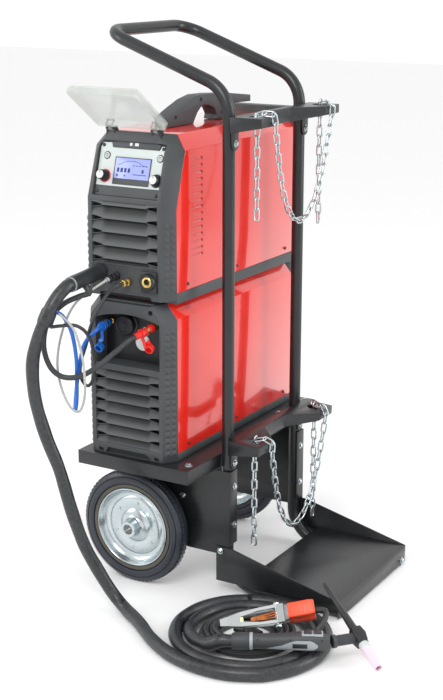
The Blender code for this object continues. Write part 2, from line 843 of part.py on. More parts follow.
def panel_button(name, place):
    foot = ON_PANEL @ Vector((*place, PANEL_TOP - 0.0015))
    top = foot + OUT_OF_PANEL * 0.0055
    pivot(cylinder(name, foot, top, BUTTON_R, knob_plastic(), segments=20), foot)


def panel_lid():
    """A shallow clear cover. Its two arms turn in the hinge blocks on top of the bezel."""
    low, high = (MID_X - LID_HALF, LID_S[0], LID_N[0]), (MID_X + LID_HALF, LID_S[1], LID_N[1])
    lid = box("panel_lid", low, high, clear_plastic())
    inside = (
        (low[0] + 0.002, low[1] + 0.002, -0.01),
        (high[0] - 0.002, high[1] - 0.002, high[2] - 0.0025),
    )
    hollow = box("lid_hollow", *inside, None, helper=True)
    hinge = ON_PANEL.inverted() @ Vector((0, *LID_HINGE))
    helpers = [hollow]
    cut(lid, hollow)
    for x in LID_ARM_X:
        arm = (x - 0.0045, LID_S[1] - 0.004, LID_N[0] + 0.0005), (x + 0.0045, hinge.y, LID_N[0] + 0.0055)
        barrel = (x - 0.0045, hinge.y, hinge.z), (x + 0.0045, hinge.y, hinge.z)
        helpers.append(box("lid_arm", *arm, None, helper=True))
        helpers.append(cylinder("lid_barrel", *barrel, 0.0042, None, helper=True, segments=20))
        fuse(lid, *helpers[-2:])
    hinge_axis = Matrix.Translation((0, *LID_HINGE))
    opened = hinge_axis @ Matrix.Rotation(-LID_OPEN, 4, "X") @ hinge_axis.inverted() @ ON_PANEL
    for piece in [lid] + helpers:
        placed(piece, opened)
    pivot(lid, (MID_X, *LID_HINGE))


def carry_handle():
    """An arch on the case's top, with a tail that reaches back past its rear foot."""
    foot = POWER_CASE_Z[1] + GAP
    outside = [
        (-0.130, foot),
        (-0.130, 0.986),
        (-0.084, 1.0025),
        (-0.045, 1.015),
        (-0.005, 1.022),
        (0.044, 1.021),
        (0.124, 1.0157),
        (0.212, 1.0053),
        (0.212, 0.991),
        (0.150, 0.993),
        (0.118, 0.988),
        (0.108, foot),
    ]
    grip = [(0.062, foot), (0.066, 0.976), (0.055, 0.990), (0.030, 0.9985), (0.007, 1.0005)]
    grip += [(-0.0135, 0.986), (-0.0275, 0.969), (-0.028, foot)]
    slab("carry_handle", outside + grip, "YZ", MID_X - 0.016, MID_X + 0.016, bezel_plastic())


def fan_outline(centre, radius, hub, blades):
    """A rotor seen from the front: a hub with straight blades."""
    u, v = centre
    outline = []
    for i in range(blades):
        for turn, reach in ((0.0, hub), (0.12, radius), (0.62, radius), (0.70, hub)):
            a = 2 * math.pi * (i + turn) / blades
            outline.append((u + reach * math.cos(a), v + reach * math.sin(a)))
    return outline


def power_insides():
    floor = POWER_Z + WALL + GAP
    box("power_module", (MID_X - 0.070, -0.150, floor), (MID_X + 0.070, 0.170, 0.800), grey_metal())
    fan = slab("welder_fan", fan_outline((MID_X, 0.800), 0.050, 0.016, 7), "XZ", 0.212, 0.228, black_plastic())
    pivot(fan, (MID_X, 0.220, 0.800))


def power_rear():
    top = POWER_CASE_Z[1] + REAR_TOP
    rear_bezel("welder_rear_bezel", POWER_Z, top)
    face = BACK_Y - REAR_SINK + GAP
    at = (-0.115, face, 0.880)
    switch = cylinder("main_switch", at, (at[0], face + 0.008, at[2]), 0.018, black_plastic(), segments=28)
    bar = (at[0] - 0.004, face + 0.007, at[2] - 0.017), (at[0] + 0.004, face + 0.019, at[2] + 0.017)
    fuse(switch, box("switch_bar", *bar, None, helper=True))
    pivot(switch, at)
    inlet = (-0.215, face, 0.700)
    cylinder("mains_gland", inlet, (inlet[0], face + 0.019, inlet[2]), 0.012, black_plastic())


def front_connections():
    start, end = (Vector(p) for p in TORCH_PLUG)
    cylinder("torch_plug", start, end, TORCH_PLUG_R, hose_rubber())
    cylinder("control_plug", *CONTROL_PLUG, CONTROL_PLUG_R, black_plastic())
    cylinder("gas_fitting", *GAS_FITTING, GAS_FITTING_R, brass(), segments=12)
    x, z = EARTH_SOCKET
    low = (x - SOCKET_PLATE, PLUG_FRONT - 0.003, z - SOCKET_PLATE)
    high = (x + SOCKET_PLATE, PLUG_FRONT, z + SOCKET_PLATE)
    socket = box("earth_socket", low, high, black_plastic())
    ring = (x, PLUG_FRONT - 0.002, z), (x, PLUG_FRONT - 0.012, z)
    bore = (x, PLUG_FRONT - 0.001, z), (x, PLUG_FRONT - 0.020, z)
    fuse(socket, cylinder("socket_ring", *ring, SOCKET_R, None, helper=True, segments=28))
    cut(socket, cylinder("socket_bore", *bore, SOCKET_BORE, None, helper=True))


# ---------------------------------------------------------------- water cooler


def cooler_bezel():
    """The front moulding, with a deep recess for the filler cap and the two couplings."""
    run, rise = CHAMFER
    top = COOLER_CASE_Z[1]
    corners = across(FACE_HALF, FRONT_Y, COOLER_Z) + across(FACE_HALF, FRONT_Y, top - 0.037)
    corners += across(CROWN[0], FRONT_Y, top - 0.012)
    corners += across(CASE_HALF, SEAM_Y, COOLER_Z) + across(CASE_HALF, SEAM_Y, top - rise)
    corners += across(CASE_HALF - run, SEAM_Y, top)
    bezel = hull("cooler_front_bezel", corners, bezel_plastic())
    low = (MID_X - PANEL_HALF, SEAM_Y - BEZEL_POCKET, COOLER_Z + 0.008)
    high = (MID_X + PANEL_HALF, SEAM_Y + 0.01, RECESS_Z[0] - 0.009)
    cut(bezel, box("cooler_pocket", low, high, None, helper=True))
    low = (RECESS_X[0] - 0.004, SEAM_Y - 0.002, RECESS_Z[0] - 0.004)
    high = (RECESS_X[1] + 0.004, RECESS_BACK + 0.004, RECESS_Z[1] + 0.004)
    fuse(bezel, box("recess_bucket", low, high, None, helper=True))
    low = (RECESS_X[0], FRONT_Y - 0.01, RECESS_Z[0])
    high = (RECESS_X[1], RECESS_BACK, RECESS_Z[1])
    cut(bezel, box("recess", low, high, None, helper=True))
    grooves(bezel, 0.340, 0.0246, 6)


def cooler():
    case_shell("cooler_case", COOLER_CASE_Z, (SEAM_Y + GAP, REAR_Y - GAP))
    base_tray("cooler_base", COOLER_Z, COOLER_CASE_Z[0] - GAP)
    cooler_bezel()
    rear_bezel("cooler_rear_bezel", COOLER_Z, COOLER_CASE_Z[1] - GAP)
    floor = COOLER_Z + WALL + GAP
    box("coolant_tank", (MID_X - 0.075, -0.215, floor), (MID_X + 0.075, -0.020, 0.550), knob_plastic())
    cylinder("coolant_pump", (MID_X, 0.020, 0.400), (MID_X, 0.180, 0.400), 0.045, grey_metal(), segments=32)
    at = (FILLER[0], RECESS_BACK - GAP, FILLER[1])
    profile = [(0, 0), (FILLER_R, 0), (FILLER_R, 0.016), (FILLER_R - 0.003, 0.019), (0, 0.019)]
    turned("filler_cap", profile, at, (0, -1, 0), black_plastic(), 28)
    cylinder("coupling_blue", *BLUE_COUPLING, COUPLING_R, blue_plastic(), segments=16)
    cylinder("coupling_red", *RED_COUPLING, COUPLING_R, red_plastic(), segments=16)


# ---------------------------------------------------------------- cords


def beyond(ends, extra):
    """A point on from the second end of a straight piece."""
    first, last = (Vector(p) for p in ends)
    return last + (last - first).normalized() * extra


def hose(name, ends, straight, rest, spacing, radius, surface, sides):
    """A hose that leaves the end of its connector straight, and then follows the rest of its route."""
    route = smooth_route([beyond(ends, straight)] + rest, spacing)
    tube(name, [beyond(ends, GAP)] + route, radius, surface, sides)


def hoses():
    torch = [
        (-0.231, -0.410, 0.665),
        (-0.241, -0.430, 0.633),
        (-0.263, -0.435, 0.581),
        (-0.278, -0.435, 0.528),
        (-0.278, -0.430, 0.455),
        (-0.262, -0.420, 0.377),
        (-0.239, -0.410, 0.308),
        (-0.220, -0.400, 0.223),
        (-0.201, -0.385, 0.145),
        (-0.180, -0.365, 0.083),
        (-0.153, -0.355, 0.036),
        (-0.115, -0.365, 0.0145),
        (-0.060, -0.400, 0.0135),
        (0.005, -0.450, 0.0135),
        (0.075, -0.486, 0.0135),
        (0.140, -0.4985, 0.0135),
        (0.200, -0.4915, 0.0135),
        (0.255, -0.4660, 0.0135),
    ]
    hose("torch_hose", TORCH_PLUG, 0.014, torch, 0.026, TORCH_HOSE_R, hose_rubber(), 3)
    red = [
        (-0.155, -0.330, 0.544),
        (-0.186, -0.345, 0.515),
        (-0.224, -0.355, 0.491),
        (-0.257, -0.370, 0.490),
        (-0.275, -0.385, 0.514),
        (-0.280, -0.395, 0.559),
        (-0.269, -0.392, 0.608),
        (-0.246, -0.375, 0.640),
        (-0.225, -0.350, 0.6535),
        (-0.214, -0.335, 0.6570),
    ]
    hose("coolant_hose_red", RED_COUPLING, 0.012, red, 0.016, RED_HOSE_R, hose_rubber(), 2)
    blue = [
        (-0.232, -0.322, 0.552),
        (-0.241, -0.328, 0.513),
        (-0.249, -0.330, 0.465),
        (-0.252, -0.333, 0.425),
        (-0.249, -0.338, 0.411),
        (-0.242, -0.342, 0.433),
        (-0.238, -0.345, 0.479),
        (-0.233, -0.352, 0.530),
        (-0.231, -0.368, 0.585),
        (-0.233, -0.390, 0.620),
        (-0.2375, -0.4080, 0.6345),
    ]
    hose("coolant_hose_blue", BLUE_COUPLING, 0.010, blue, 0.011, BLUE_HOSE_R, blue_plastic(), 2)
    gas = [
        (-0.181, -0.303, 0.662),
        (-0.202, -0.310, 0.628),
        (-0.2235, -0.312, 0.587),
        (-0.238, -0.310, 0.545),
        (-0.253, -0.310, 0.503),
        (-0.253, -0.310, 0.473),
        (-0.239, -0.309, 0.457),
        (-0.226, -0.308, 0.470),
        (-0.217, -0.312, 0.505),
        (-0.211, -0.325, 0.545),
        (-0.211, -0.345, 0.580),
        (-0.218, -0.370, 0.600),
        (-0.231, -0.396, 0.604),
        (-0.245, -0.417, 0.604),
    ]
    hose("gas_hose", GAS_FITTING, 0.009, gas, 0.011, GAS_HOSE_R, hose_rubber(), 2)
    control = [
        (-0.219, -0.325, 0.658),
        (-0.243, -0.338, 0.634),
        (-0.258, -0.350, 0.599),
        (-0.272, -0.355, 0.550),
        (-0.274, -0.360, 0.503),
        (-0.261, -0.364, 0.459),
        (-0.236, -0.370, 0.428),
        (-0.213, -0.372, 0.425),
        (-0.200, -0.372, 0.458),
        (-0.199, -0.372, 0.502),
        (-0.203, -0.374, 0.544),
        (-0.209, -0.386, 0.592),
        (-0.219, -0.403, 0.620),
        (-0.2270, -0.4140, 0.6320),
    ]
    hose("control_cable", CONTROL_PLUG, 0.007, control, 0.010, CONTROL_CABLE_R, grey_cable(), 2)


def clamp_axes():
    """The earth clamp's own axes at its tip: X to its grips, Z out of the upper jaw's face."""
    tip = Vector(CLAMP_TIP)
    return axes_at(tip, Vector(CLAMP_END) - tip, (0, 0, 1)) @ Matrix.Rotation(CLAMP_ROLL, 4, "X")


def coil(name, radii, top, surface):
    """The outer shape of a coil that lies on the floor: a ring with rounded edges."""
    inner, outer = radii
    edge = top * 0.30
    low = FLOOR_GAP
    profile = [
        (inner + edge, low),
        (inner, low + edge),
        (inner, top - edge),
        (inner + edge, top),
        (outer - edge, top),
        (outer, top - edge),
        (outer, low + edge),
        (outer - edge, low),
    ]
    turned(name, profile, (*COIL_AT, 0), (0, 0, 1), surface, 32)


def earth_lead():
    coil("torch_hose_coil", TORCH_COIL, 2 * TORCH_HOSE_R, hose_rubber())
    coil("earth_cable_coil", EARTH_COIL, EARTH_COIL_TOP, hose_rubber())
    at = (COIL_AT[0] - 0.030, COIL_AT[1], 0.0145)
    cylinder("earth_plug", at, (at[0] + 0.060, at[1], at[2]), 0.014, black_plastic(), segments=16)
    lead = [
        beyond((CLAMP_TIP, CLAMP_END), 0.001) - clamp_axes().to_3x3() @ Vector((0, 0, 0.009)),
        (0.296, -0.281, 0.076),
        (0.303, -0.302, 0.066),
        (0.296, -0.322, 0.050),
        (0.275, -0.337, 0.038),
        (0.250, -0.345, 0.0325),
    ]
    tube("earth_cable", smooth_route(lead, 0.012), EARTH_CABLE_R, hose_rubber(), 2)


# ---------------------------------------------------------------- torch and earth clamp


def torch():
    rear, front = Vector(HANDLE_REAR), Vector(HANDLE_FRONT)
    reach = (front - rear).length
    profile = [
        (0, 0),
        (0.0135, 0),
        (0.0160, 0.010),
        (0.0160, 0.030),
        (0.0150, 0.050),
        (0.0162, reach * 0.60),
        (0.0182, reach * 0.85),
        (0.0170, reach - 0.006),
        (0.0120, reach),
        (0, reach),
    ]
    handle = turned("torch_handle", profile, rear, front - rear, black_plastic(), 24)
    on_handle = axes_at(rear, front - rear, (0, 0, 1))
    low, high = Vector((reach * 0.70, -0.0062, 0.0115)), Vector((reach * 0.90, 0.0062, 0.0215))
    pocket_edge = Vector((GAP, GAP, GAP))
    pocket = box("trigger_pocket", low - pocket_edge, high + pocket_edge, None, helper=True)
    cut(handle, placed(pocket, on_handle))
    key = box("torch_trigger", low + Vector((0, 0, 0.002)), high, hose_rubber())
    pivot(placed(key, on_handle), on_handle @ Vector((low.x, 0, low.z + 0.002)))

    head, cup = Vector(HEAD_AT), Vector(CUP_END)
    along = (cup - head).normalized()
    neck_start = front + (head - front).normalized() * 0.004
    body = cylinder("torch_head", neck_start, head, NECK_R, black_plastic())
    block = cylinder("head_block", head - along * 0.020, head + along * 0.018, HEAD_R, None, helper=True)
    cap = cylinder("back_cap", head - along * 0.015, CAP_TIP, 0.0085, None, helper=True, end_radius=0.0040)
    fuse(body, block, cap)
    cylinder("ceramic_cup", head + along * (0.018 + GAP), cup, 0.0085, pink_ceramic(), end_radius=0.0080)


def clamp_jaw(name, side, on_clamp, length):
    """Half of the clamp: a folded steel jaw and its orange grip, to one side of the pivot's plane."""
    def at(x, y, z):
        return on_clamp @ Vector((x, y, side * z))

    jaw = [at(0, y, z) for y in (-0.007, 0.007) for z in (0.0006, 0.006)]
    jaw += [at(0.040, y, z) for y in (-0.014, 0.014) for z in (0.0006, 0.010)]
    jaw += [at(CLAMP_PIVOT, y, z) for y in (-0.018, 0.018) for z in (0.0006, 0.012)]
    plate = hull(name, jaw, steel())
    arm = [at(CLAMP_PIVOT - 0.001, y, z) for y in (-0.017, 0.017) for z in (0.0030, 0.0118)]
    arm += [at(length, y, z) for y in (-0.012, 0.012) for z in (0.0185, 0.0260)]
    grip = [at(length - 0.052, y, z) for y in (-0.0145, 0.0145) for z in (0.0120, 0.0250)]
    grip += [at(length, y, z) for y in (-0.0145, 0.0145) for z in (0.0170, 0.0310)]
    fuse(plate, hull(name + "_arm", arm, None, helper=True), hull(name + "_grip", grip, None, helper=True))
    pivot(plate, at(CLAMP_PIVOT, 0, 0))


def earth_clamp():
    length = (Vector(CLAMP_END) - Vector(CLAMP_TIP)).length
    for name, side in (("earth_clamp_jaw_upper", 1), ("earth_clamp_jaw_lower", -1)):
        clamp_jaw(name, side, clamp_axes(), length)


frame_tubes()
cradle("upper_cradle", UPPER_CRADLE_Z, 0.0)
cradle("lower_cradle", LOWER_CRADLE_Z, LOWER_TILT)
side_plates()
shelf()
toe()
wheels()
chain("upper_chain", UPPER_CRADLE_Z, UPPER_CRADLE_Z, (0.800, 0.752))
chain("lower_chain", LOWER_CRADLE_Z, LOWER_CRADLE_Z - 0.003, (0.110, 0.080))
power_case()
base_tray("welder_base", POWER_Z, POWER_CASE_Z[0] - GAP)
power_bezel()
power_rear()
power_insides()
carry_handle()
control_panel()
control_knob("knob_left", KNOB_LEFT, 0.0200)
control_knob("knob_right", KNOB_RIGHT, 0.0150)
panel_button("button_left", BUTTON_LEFT)
panel_button("button_right", BUTTON_RIGHT)
panel_lid()
front_connections()
cooler()
hoses()
earth_lead()
torch()
earth_clamp()
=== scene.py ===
"""Looks of the TIG welder on its trolley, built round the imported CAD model.

Lengths are metres, in the trolley's own axes: the uprights stand at x = 0 and the machines' fronts face -Y.
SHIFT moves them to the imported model's axes.
"""

import math

import bmesh
import bpy
from mathutils import Matrix, Vector


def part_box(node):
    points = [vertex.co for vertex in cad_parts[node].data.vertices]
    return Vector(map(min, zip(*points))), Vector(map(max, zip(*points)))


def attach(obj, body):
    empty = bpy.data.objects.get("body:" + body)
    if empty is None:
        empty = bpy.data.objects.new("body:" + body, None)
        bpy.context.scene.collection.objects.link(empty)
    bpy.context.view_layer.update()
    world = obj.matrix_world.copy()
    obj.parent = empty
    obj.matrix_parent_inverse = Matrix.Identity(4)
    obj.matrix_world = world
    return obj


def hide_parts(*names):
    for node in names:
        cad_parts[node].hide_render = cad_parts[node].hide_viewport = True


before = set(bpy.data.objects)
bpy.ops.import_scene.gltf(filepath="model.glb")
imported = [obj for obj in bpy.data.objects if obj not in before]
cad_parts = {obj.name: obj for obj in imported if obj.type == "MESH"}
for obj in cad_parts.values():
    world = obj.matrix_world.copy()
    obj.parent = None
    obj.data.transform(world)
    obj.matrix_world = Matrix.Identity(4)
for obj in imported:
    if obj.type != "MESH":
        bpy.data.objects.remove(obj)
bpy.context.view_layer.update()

SHELF_LOW, SHELF_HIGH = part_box("machine_shelf")
SHIFT = Vector((SHELF_LOW.x + 0.285, (SHELF_LOW.y + SHELF_HIGH.y) / 2, 0))
TROLLEY = "trolley"

# Camera, fitted to the photo
CAMERA_AT = Vector((1.4044, -2.5795, 1.3079))
CAMERA_TURN = (74.48, -0.07, 30.32)
CAMERA_LENS = 73.7

# The two sides of the trolley
SIDES = ((-1, "front"), (1, "rear"))

# Faces that meet at more than this many degrees keep a sharp edge
SMOOTH_ANGLE = 38

# Tubular frame
TUBE_R = 0.0125
TUBE_Y = 0.149
FOOT_END = 0.2675
BEND_Z = 1.049
HANDLE_X = -0.285
HANDLE_Z = 1.155

# Wheels
WHEEL_R = 0.125
WHEEL_X = -0.196
WHEEL_Y = 0.203
RIM_R = 0.087
HUB_HALF = 0.032
HUB_R = 0.018

# Machines
MID_X = -0.169
CASE_HALF = 0.105
FACE_HALF = 0.086
FRONT_Y = -0.269
SEAM_Y = -0.241
BACK_Y = 0.281
COOLER_Z = 0.3048
COOLER_TOP = 0.634
POWER_BEZEL_Z = 0.6415
POWER_TOP = 0.965
CHAMFER = (0.024, 0.030)
LEAN = math.radians(17.0)
FACE_TURN = 0.838
SEAM_TURN = 0.824
PANEL_TOP = -0.0067
LID_HINGE = (-0.230, 0.972)
LID_ARM_X = (-0.222, -0.116)
LID_OPENING = math.radians(-108.0)
RECESS_BACK = -0.229

# Louvred fronts
WINDOW_HALF = 0.0775
WINDOW_DEEP = 0.0135
EYE_FROM = 0.052
EYE_RUN = 0.0255
EYE_HALF = 0.0056
LIP_HALF = 0.0009
POWER_WINDOW = (0.7085, 0.8330)
COOLER_WINDOW = (0.3270, 0.4860)

# Coils
COIL_AT = Vector((0.150, -0.327, 0))
TORCH_HOSE_R = 0.013
EARTH_CABLE_R = 0.006

# Torch and clamp
HANDLE_REAR = Vector((0.169, -0.426, 0.0435))
HANDLE_FRONT = Vector((0.335, -0.340, 0.046))
HEAD_AT = Vector((0.375, -0.296, 0.047))
CUP_END = Vector((0.438, -0.343, 0.020))
CLAMP_TIP = Vector((0.120, -0.385, 0.050))
CLAMP_END = Vector((0.278, -0.292, 0.080))
CLAMP_ROLL = math.radians(50.0)
CLAMP_PIVOT = 0.112


# ---------------------------------------------------------------- camera, light and floor


def make_camera():
    data = bpy.data.cameras.new("camera")
    data.lens = CAMERA_LENS
    data.sensor_width = 36.0
    camera = bpy.data.objects.new("camera", data)
    camera.location = CAMERA_AT + SHIFT
    camera.rotation_euler = [math.radians(angle) for angle in CAMERA_TURN]
    data.clip_end = 60.0
    bpy.context.scene.collection.objects.link(camera)
    bpy.context.scene.camera = camera


def area_light(name, place, target, size, power):
    data = bpy.data.lights.new(name, "AREA")
    data.shape = "RECTANGLE"
    data.size, data.size_y = size
    data.energy = power
    light = bpy.data.objects.new(name, data)
    light.location = place
    light.rotation_euler = (Vector(target) - Vector(place)).to_track_quat("-Z", "Y").to_euler()
    bpy.context.scene.collection.objects.link(light)


def studio():
    bpy.context.scene.view_settings.view_transform = "Standard"
    world = bpy.data.worlds.new("studio")
    world.use_nodes = True
    world.node_tree.nodes["Background"].inputs["Color"].default_value = (1.0, 1.0, 1.0, 1.0)
    world.node_tree.nodes["Background"].inputs["Strength"].default_value = 1.04
    bpy.context.scene.world = world
    area_light("key", (0.6, -2.6, 2.7), (0, 0, 0.5), (1.4, 1.4), 46)
    area_light("side", (2.7, 1.2, 1.5), (0, 0, 0.6), (1.0, 2.2), 34)
    area_light("front", (-2.4, -1.8, 1.6), (0, 0, 0.6), (1.2, 1.6), 22)
    bm = bmesh.new()
    bmesh.ops.create_grid(bm, x_segments=8, y_segments=8, size=14.0)
    mesh = bpy.data.meshes.new("floor")
    bm.to_mesh(mesh)
    bm.free()
    floor = bpy.data.objects.new("floor", mesh)
    bpy.context.scene.collection.objects.link(floor)
    pale = bpy.data.materials.new("floor")
    pale.use_nodes = True
    shader = pale.node_tree.nodes["Principled BSDF"]
    shader.inputs["Base Color"].default_value = (0.90, 0.90, 0.90, 1.0)
    shader.inputs["Roughness"].default_value = 0.85
    mesh.materials.append(pale)


make_camera()
studio()


# ---------------------------------------------------------------- materials


def look(name, low, high, rough, grain, bump, stretch=(1, 1, 1), wear=0.5, **sockets):
    """A surface that drifts between two colours, with roughness and bump from a finer grain.

    grain is the number of bumps to a metre, and stretch draws them out along an axis.
    """
    made = bpy.data.materials.new(name)
    made.use_nodes = True
    tree = made.node_tree
    shader = tree.nodes["Principled BSDF"]
    place = tree.nodes.new("ShaderNodeTexCoord")
    mapping = tree.nodes.new("ShaderNodeMapping")
    mapping.inputs["Scale"].default_value = stretch
    tree.links.new(place.outputs["Object"], mapping.inputs["Vector"])
    drift = tree.nodes.new("ShaderNodeTexNoise")
    drift.inputs["Scale"].default_value = 14.0
    drift.inputs["Detail"].default_value = 5.0
    fine = tree.nodes.new("ShaderNodeTexNoise")
    fine.inputs["Scale"].default_value = grain
    fine.inputs["Detail"].default_value = 3.0
    tree.links.new(place.outputs["Object"], drift.inputs["Vector"])
    tree.links.new(mapping.outputs["Vector"], fine.inputs["Vector"])
    both = tree.nodes.new("ShaderNodeMath")
    both.operation = "MULTIPLY_ADD"
    both.inputs[1].default_value = wear
    tree.links.new(fine.outputs["Fac"], both.inputs[0])
    half = tree.nodes.new("ShaderNodeMath")
    half.operation = "MULTIPLY"
    half.inputs[1].default_value = 1.0 - wear
    tree.links.new(drift.outputs["Fac"], half.inputs[0])
    tree.links.new(half.outputs["Value"], both.inputs[2])
    ramp = tree.nodes.new("ShaderNodeValToRGB")
    ramp.color_ramp.elements[0].position = 0.35
    ramp.color_ramp.elements[1].position = 0.65
    ramp.color_ramp.elements[0].color = (*low, 1.0)
    ramp.color_ramp.elements[1].color = (*high, 1.0)
    tree.links.new(both.outputs["Value"], ramp.inputs["Fac"])
    tree.links.new(ramp.outputs["Color"], shader.inputs["Base Color"])
    spread = tree.nodes.new("ShaderNodeMapRange")
    spread.inputs["From Min"].default_value = 0.3
    spread.inputs["From Max"].default_value = 0.7
    spread.inputs["To Min"].default_value = rough[0]
    spread.inputs["To Max"].default_value = rough[1]
    tree.links.new(both.outputs["Value"], spread.inputs["Value"])
    tree.links.new(spread.outputs["Result"], shader.inputs["Roughness"])
    if bump:
        raised = tree.nodes.new("ShaderNodeBump")
        raised.inputs["Strength"].default_value = bump
        raised.inputs["Distance"].default_value = 0.001
        tree.links.new(fine.outputs["Fac"], raised.inputs["Height"])
        tree.links.new(raised.outputs["Normal"], shader.inputs["Normal"])
    for socket, value in sockets.items():
        shader.inputs[socket.replace("_", " ")].default_value = value
    return made


def darken_inward(made, low, high):
    """Dims a surface's colour from object-space Y = low to high: painted shade inside a hollow."""
    tree = made.node_tree
    shader = tree.nodes["Principled BSDF"]
    colour = shader.inputs["Base Color"].links[0].from_socket
    place = tree.nodes.new("ShaderNodeTexCoord")
    split = tree.nodes.new("ShaderNodeSeparateXYZ")
    tree.links.new(place.outputs["Object"], split.inputs["Vector"])
    depth = tree.nodes.new("ShaderNodeMapRange")
    depth.inputs["From Min"].default_value = low
    depth.inputs["From Max"].default_value = high
    tree.links.new(split.outputs["Y"], depth.inputs["Value"])
    blend = tree.nodes.new("ShaderNodeMix")
    blend.data_type = "RGBA"
    blend.inputs["B"].default_value = (0.004, 0.005, 0.005, 1.0)
    tree.links.new(depth.outputs["Result"], blend.inputs["Factor"])
    tree.links.new(colour, blend.inputs["A"])
    tree.links.new(blend.outputs["Result"], shader.inputs["Base Color"])
    return made


LOOKS = {
    "powder_black": look(
        "powder_black", (0.008, 0.009, 0.010), (0.016, 0.018, 0.020), (0.24, 0.36), 900, 0.12
    ),
    "zinc": look("zinc", (0.46, 0.52, 0.54), (0.58, 0.64, 0.66), (0.18, 0.28), 260, 0.04, Metallic=1.0),
    "tyre_rubber": look("tyre_rubber", (0.012, 0.016, 0.024), (0.026, 0.032, 0.044), (0.24, 0.40), 420, 0.14),
    "red_paint": look(
        "red_paint", (0.66, 0.012, 0.006), (0.74, 0.018, 0.008), (0.16, 0.24), 500, 0.03,
        Coat_Weight=1.0, Coat_Roughness=0.04,
    ),
    "bezel_plastic": look(
        "bezel_plastic", (0.034, 0.038, 0.041), (0.052, 0.057, 0.061), (0.40, 0.56), 1500, 0.25
    ),
    "black_plastic": look(
        "black_plastic", (0.008, 0.008, 0.010), (0.017, 0.018, 0.020), (0.28, 0.42), 1100, 0.12
    ),
    "hose_rubber": look("hose_rubber", (0.016, 0.018, 0.020), (0.040, 0.044, 0.048), (0.34, 0.52), 300, 0.30),
    "grey_metal": look(
        "grey_metal", (0.16, 0.17, 0.17), (0.27, 0.28, 0.28), (0.34, 0.50), 420, 0.10, Metallic=1.0
    ),
    "clear_plastic": look(
        "clear_plastic", (0.42, 0.45, 0.42), (0.56, 0.59, 0.56), (0.05, 0.14), 120, 0.02,
        Alpha=0.34, Coat_Weight=0.6, Coat_Roughness=0.05,
    ),
    "screen_glass": look(
        "screen_glass", (0.24, 0.28, 0.62), (0.32, 0.36, 0.72), (0.10, 0.16), 700, 0.02,
        Emission_Color=(0.30, 0.35, 0.85, 1.0), Emission_Strength=0.12,
    ),
    "knob_plastic": look("knob_plastic", (0.50, 0.52, 0.50), (0.66, 0.68, 0.66), (0.32, 0.45), 1200, 0.08),
    "blue_plastic": look("blue_plastic", (0.006, 0.09, 0.42), (0.015, 0.16, 0.62), (0.22, 0.36), 500, 0.10),
    "red_plastic": look("red_plastic", (0.58, 0.008, 0.006), (0.76, 0.020, 0.012), (0.24, 0.38), 700, 0.08),
    "grey_cable": look("grey_cable", (0.32, 0.33, 0.31), (0.46, 0.47, 0.45), (0.38, 0.52), 500, 0.12),
    "pink_ceramic": look("pink_ceramic", (0.78, 0.50, 0.62), (0.90, 0.66, 0.76), (0.22, 0.38), 500, 0.06),
    "brass": look("brass", (0.66, 0.46, 0.13), (0.86, 0.66, 0.26), (0.18, 0.34), 600, 0.08, Metallic=1.0),
    "steel": look(
        "steel", (0.34, 0.32, 0.30), (0.50, 0.48, 0.45), (0.30, 0.46), 500, 0.10, (1, 1, 6), Metallic=1.0
    ),
}
PANEL_WHITE = look("panel_white", (0.46, 0.51, 0.49), (0.54, 0.59, 0.57), (0.30, 0.42), 1400, 0.06)
PALE_GREY = look("pale_grey", (0.26, 0.29, 0.31), (0.36, 0.39, 0.41), (0.36, 0.50), 1200, 0.10)
# Near-black for painted shade inside slots, louvre mouths, screw wells and the earth socket's bore.
PAINTED_HOLE_SHADE = look("painted_hole_shade", (0.004, 0.004, 0.005), (0.009, 0.009, 0.010), (0.55, 0.75), 800, 0.10)
OLIVE_RUBBER = look("olive_rubber", (0.050, 0.045, 0.030), (0.085, 0.076, 0.052), (0.26, 0.40), 500, 0.10)
COPPER = look(
    "copper", (0.52, 0.16, 0.05), (0.86, 0.34, 0.14), (0.26, 0.44), 900, 0.60, (1, 1, 4), Metallic=1.0
)
ORANGE = look("orange_grip", (0.80, 0.050, 0.010), (0.92, 0.090, 0.020), (0.30, 0.44), 900, 0.10)
SCREEN_INK = look("screen_ink", (0.020, 0.024, 0.12), (0.05, 0.06, 0.20), (0.2, 0.3), 900, 0.02)
DARK_STEEL = look("dark_steel", (0.10, 0.10, 0.10), (0.20, 0.20, 0.20), (0.30, 0.44), 600, 0.10, Metallic=1.0)
# The louvres' plastic: a lighter grey than the bezel as a painted highlight on the lips, darkened towards the
# back as painted shade in the hollows.
LOUVRE_PAINTED_LIGHT = look("louvre_painted_light", (0.060, 0.066, 0.070), (0.085, 0.092, 0.096), (0.42, 0.58), 1500, 0.20)
darken_inward(LOUVRE_PAINTED_LIGHT, FRONT_Y + 0.0006, FRONT_Y + 0.0064)
HOSE_COVER = look(
    "hose_cover", (0.013, 0.015, 0.017), (0.034, 0.038, 0.042), (0.26, 0.46), 150, 0.55, wear=0.7
)


# ---------------------------------------------------------------- modelling helpers


def add(name, data, body, slot, stands_for=(), surface=None, at=None):
    """Shows this mesh or curve as a piece of the object, on its body and with its slot's material."""
    obj = bpy.data.objects.new(name, data)
    bpy.context.scene.collection.objects.link(obj)
    obj.location = SHIFT if at is None else at
    data.materials.clear()
    data.materials.append(surface or LOOKS[slot])
    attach(obj, body)
    if stands_for:
        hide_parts(*stands_for)
    return obj


def to_mesh(name, bm, smooth=SMOOTH_ANGLE):
    bmesh.ops.recalc_face_normals(bm, faces=bm.faces)
    mesh = bpy.data.meshes.new(name)
    bm.to_mesh(mesh)
    bm.free()
    mesh.shade_smooth()
    mesh.set_sharp_from_angle(angle=math.radians(smooth))
    return mesh


def round_edges(bm, width, segments=2, angle=28):
    limit = math.radians(angle)
    edges = [e for e in bm.edges if len(e.link_faces) == 2 and e.calc_face_angle(0) > limit]
    bmesh.ops.bevel(
        bm, geom=edges, offset=width, segments=segments, profile=0.5, affect="EDGES", clamp_overlap=True
    )
    return bm


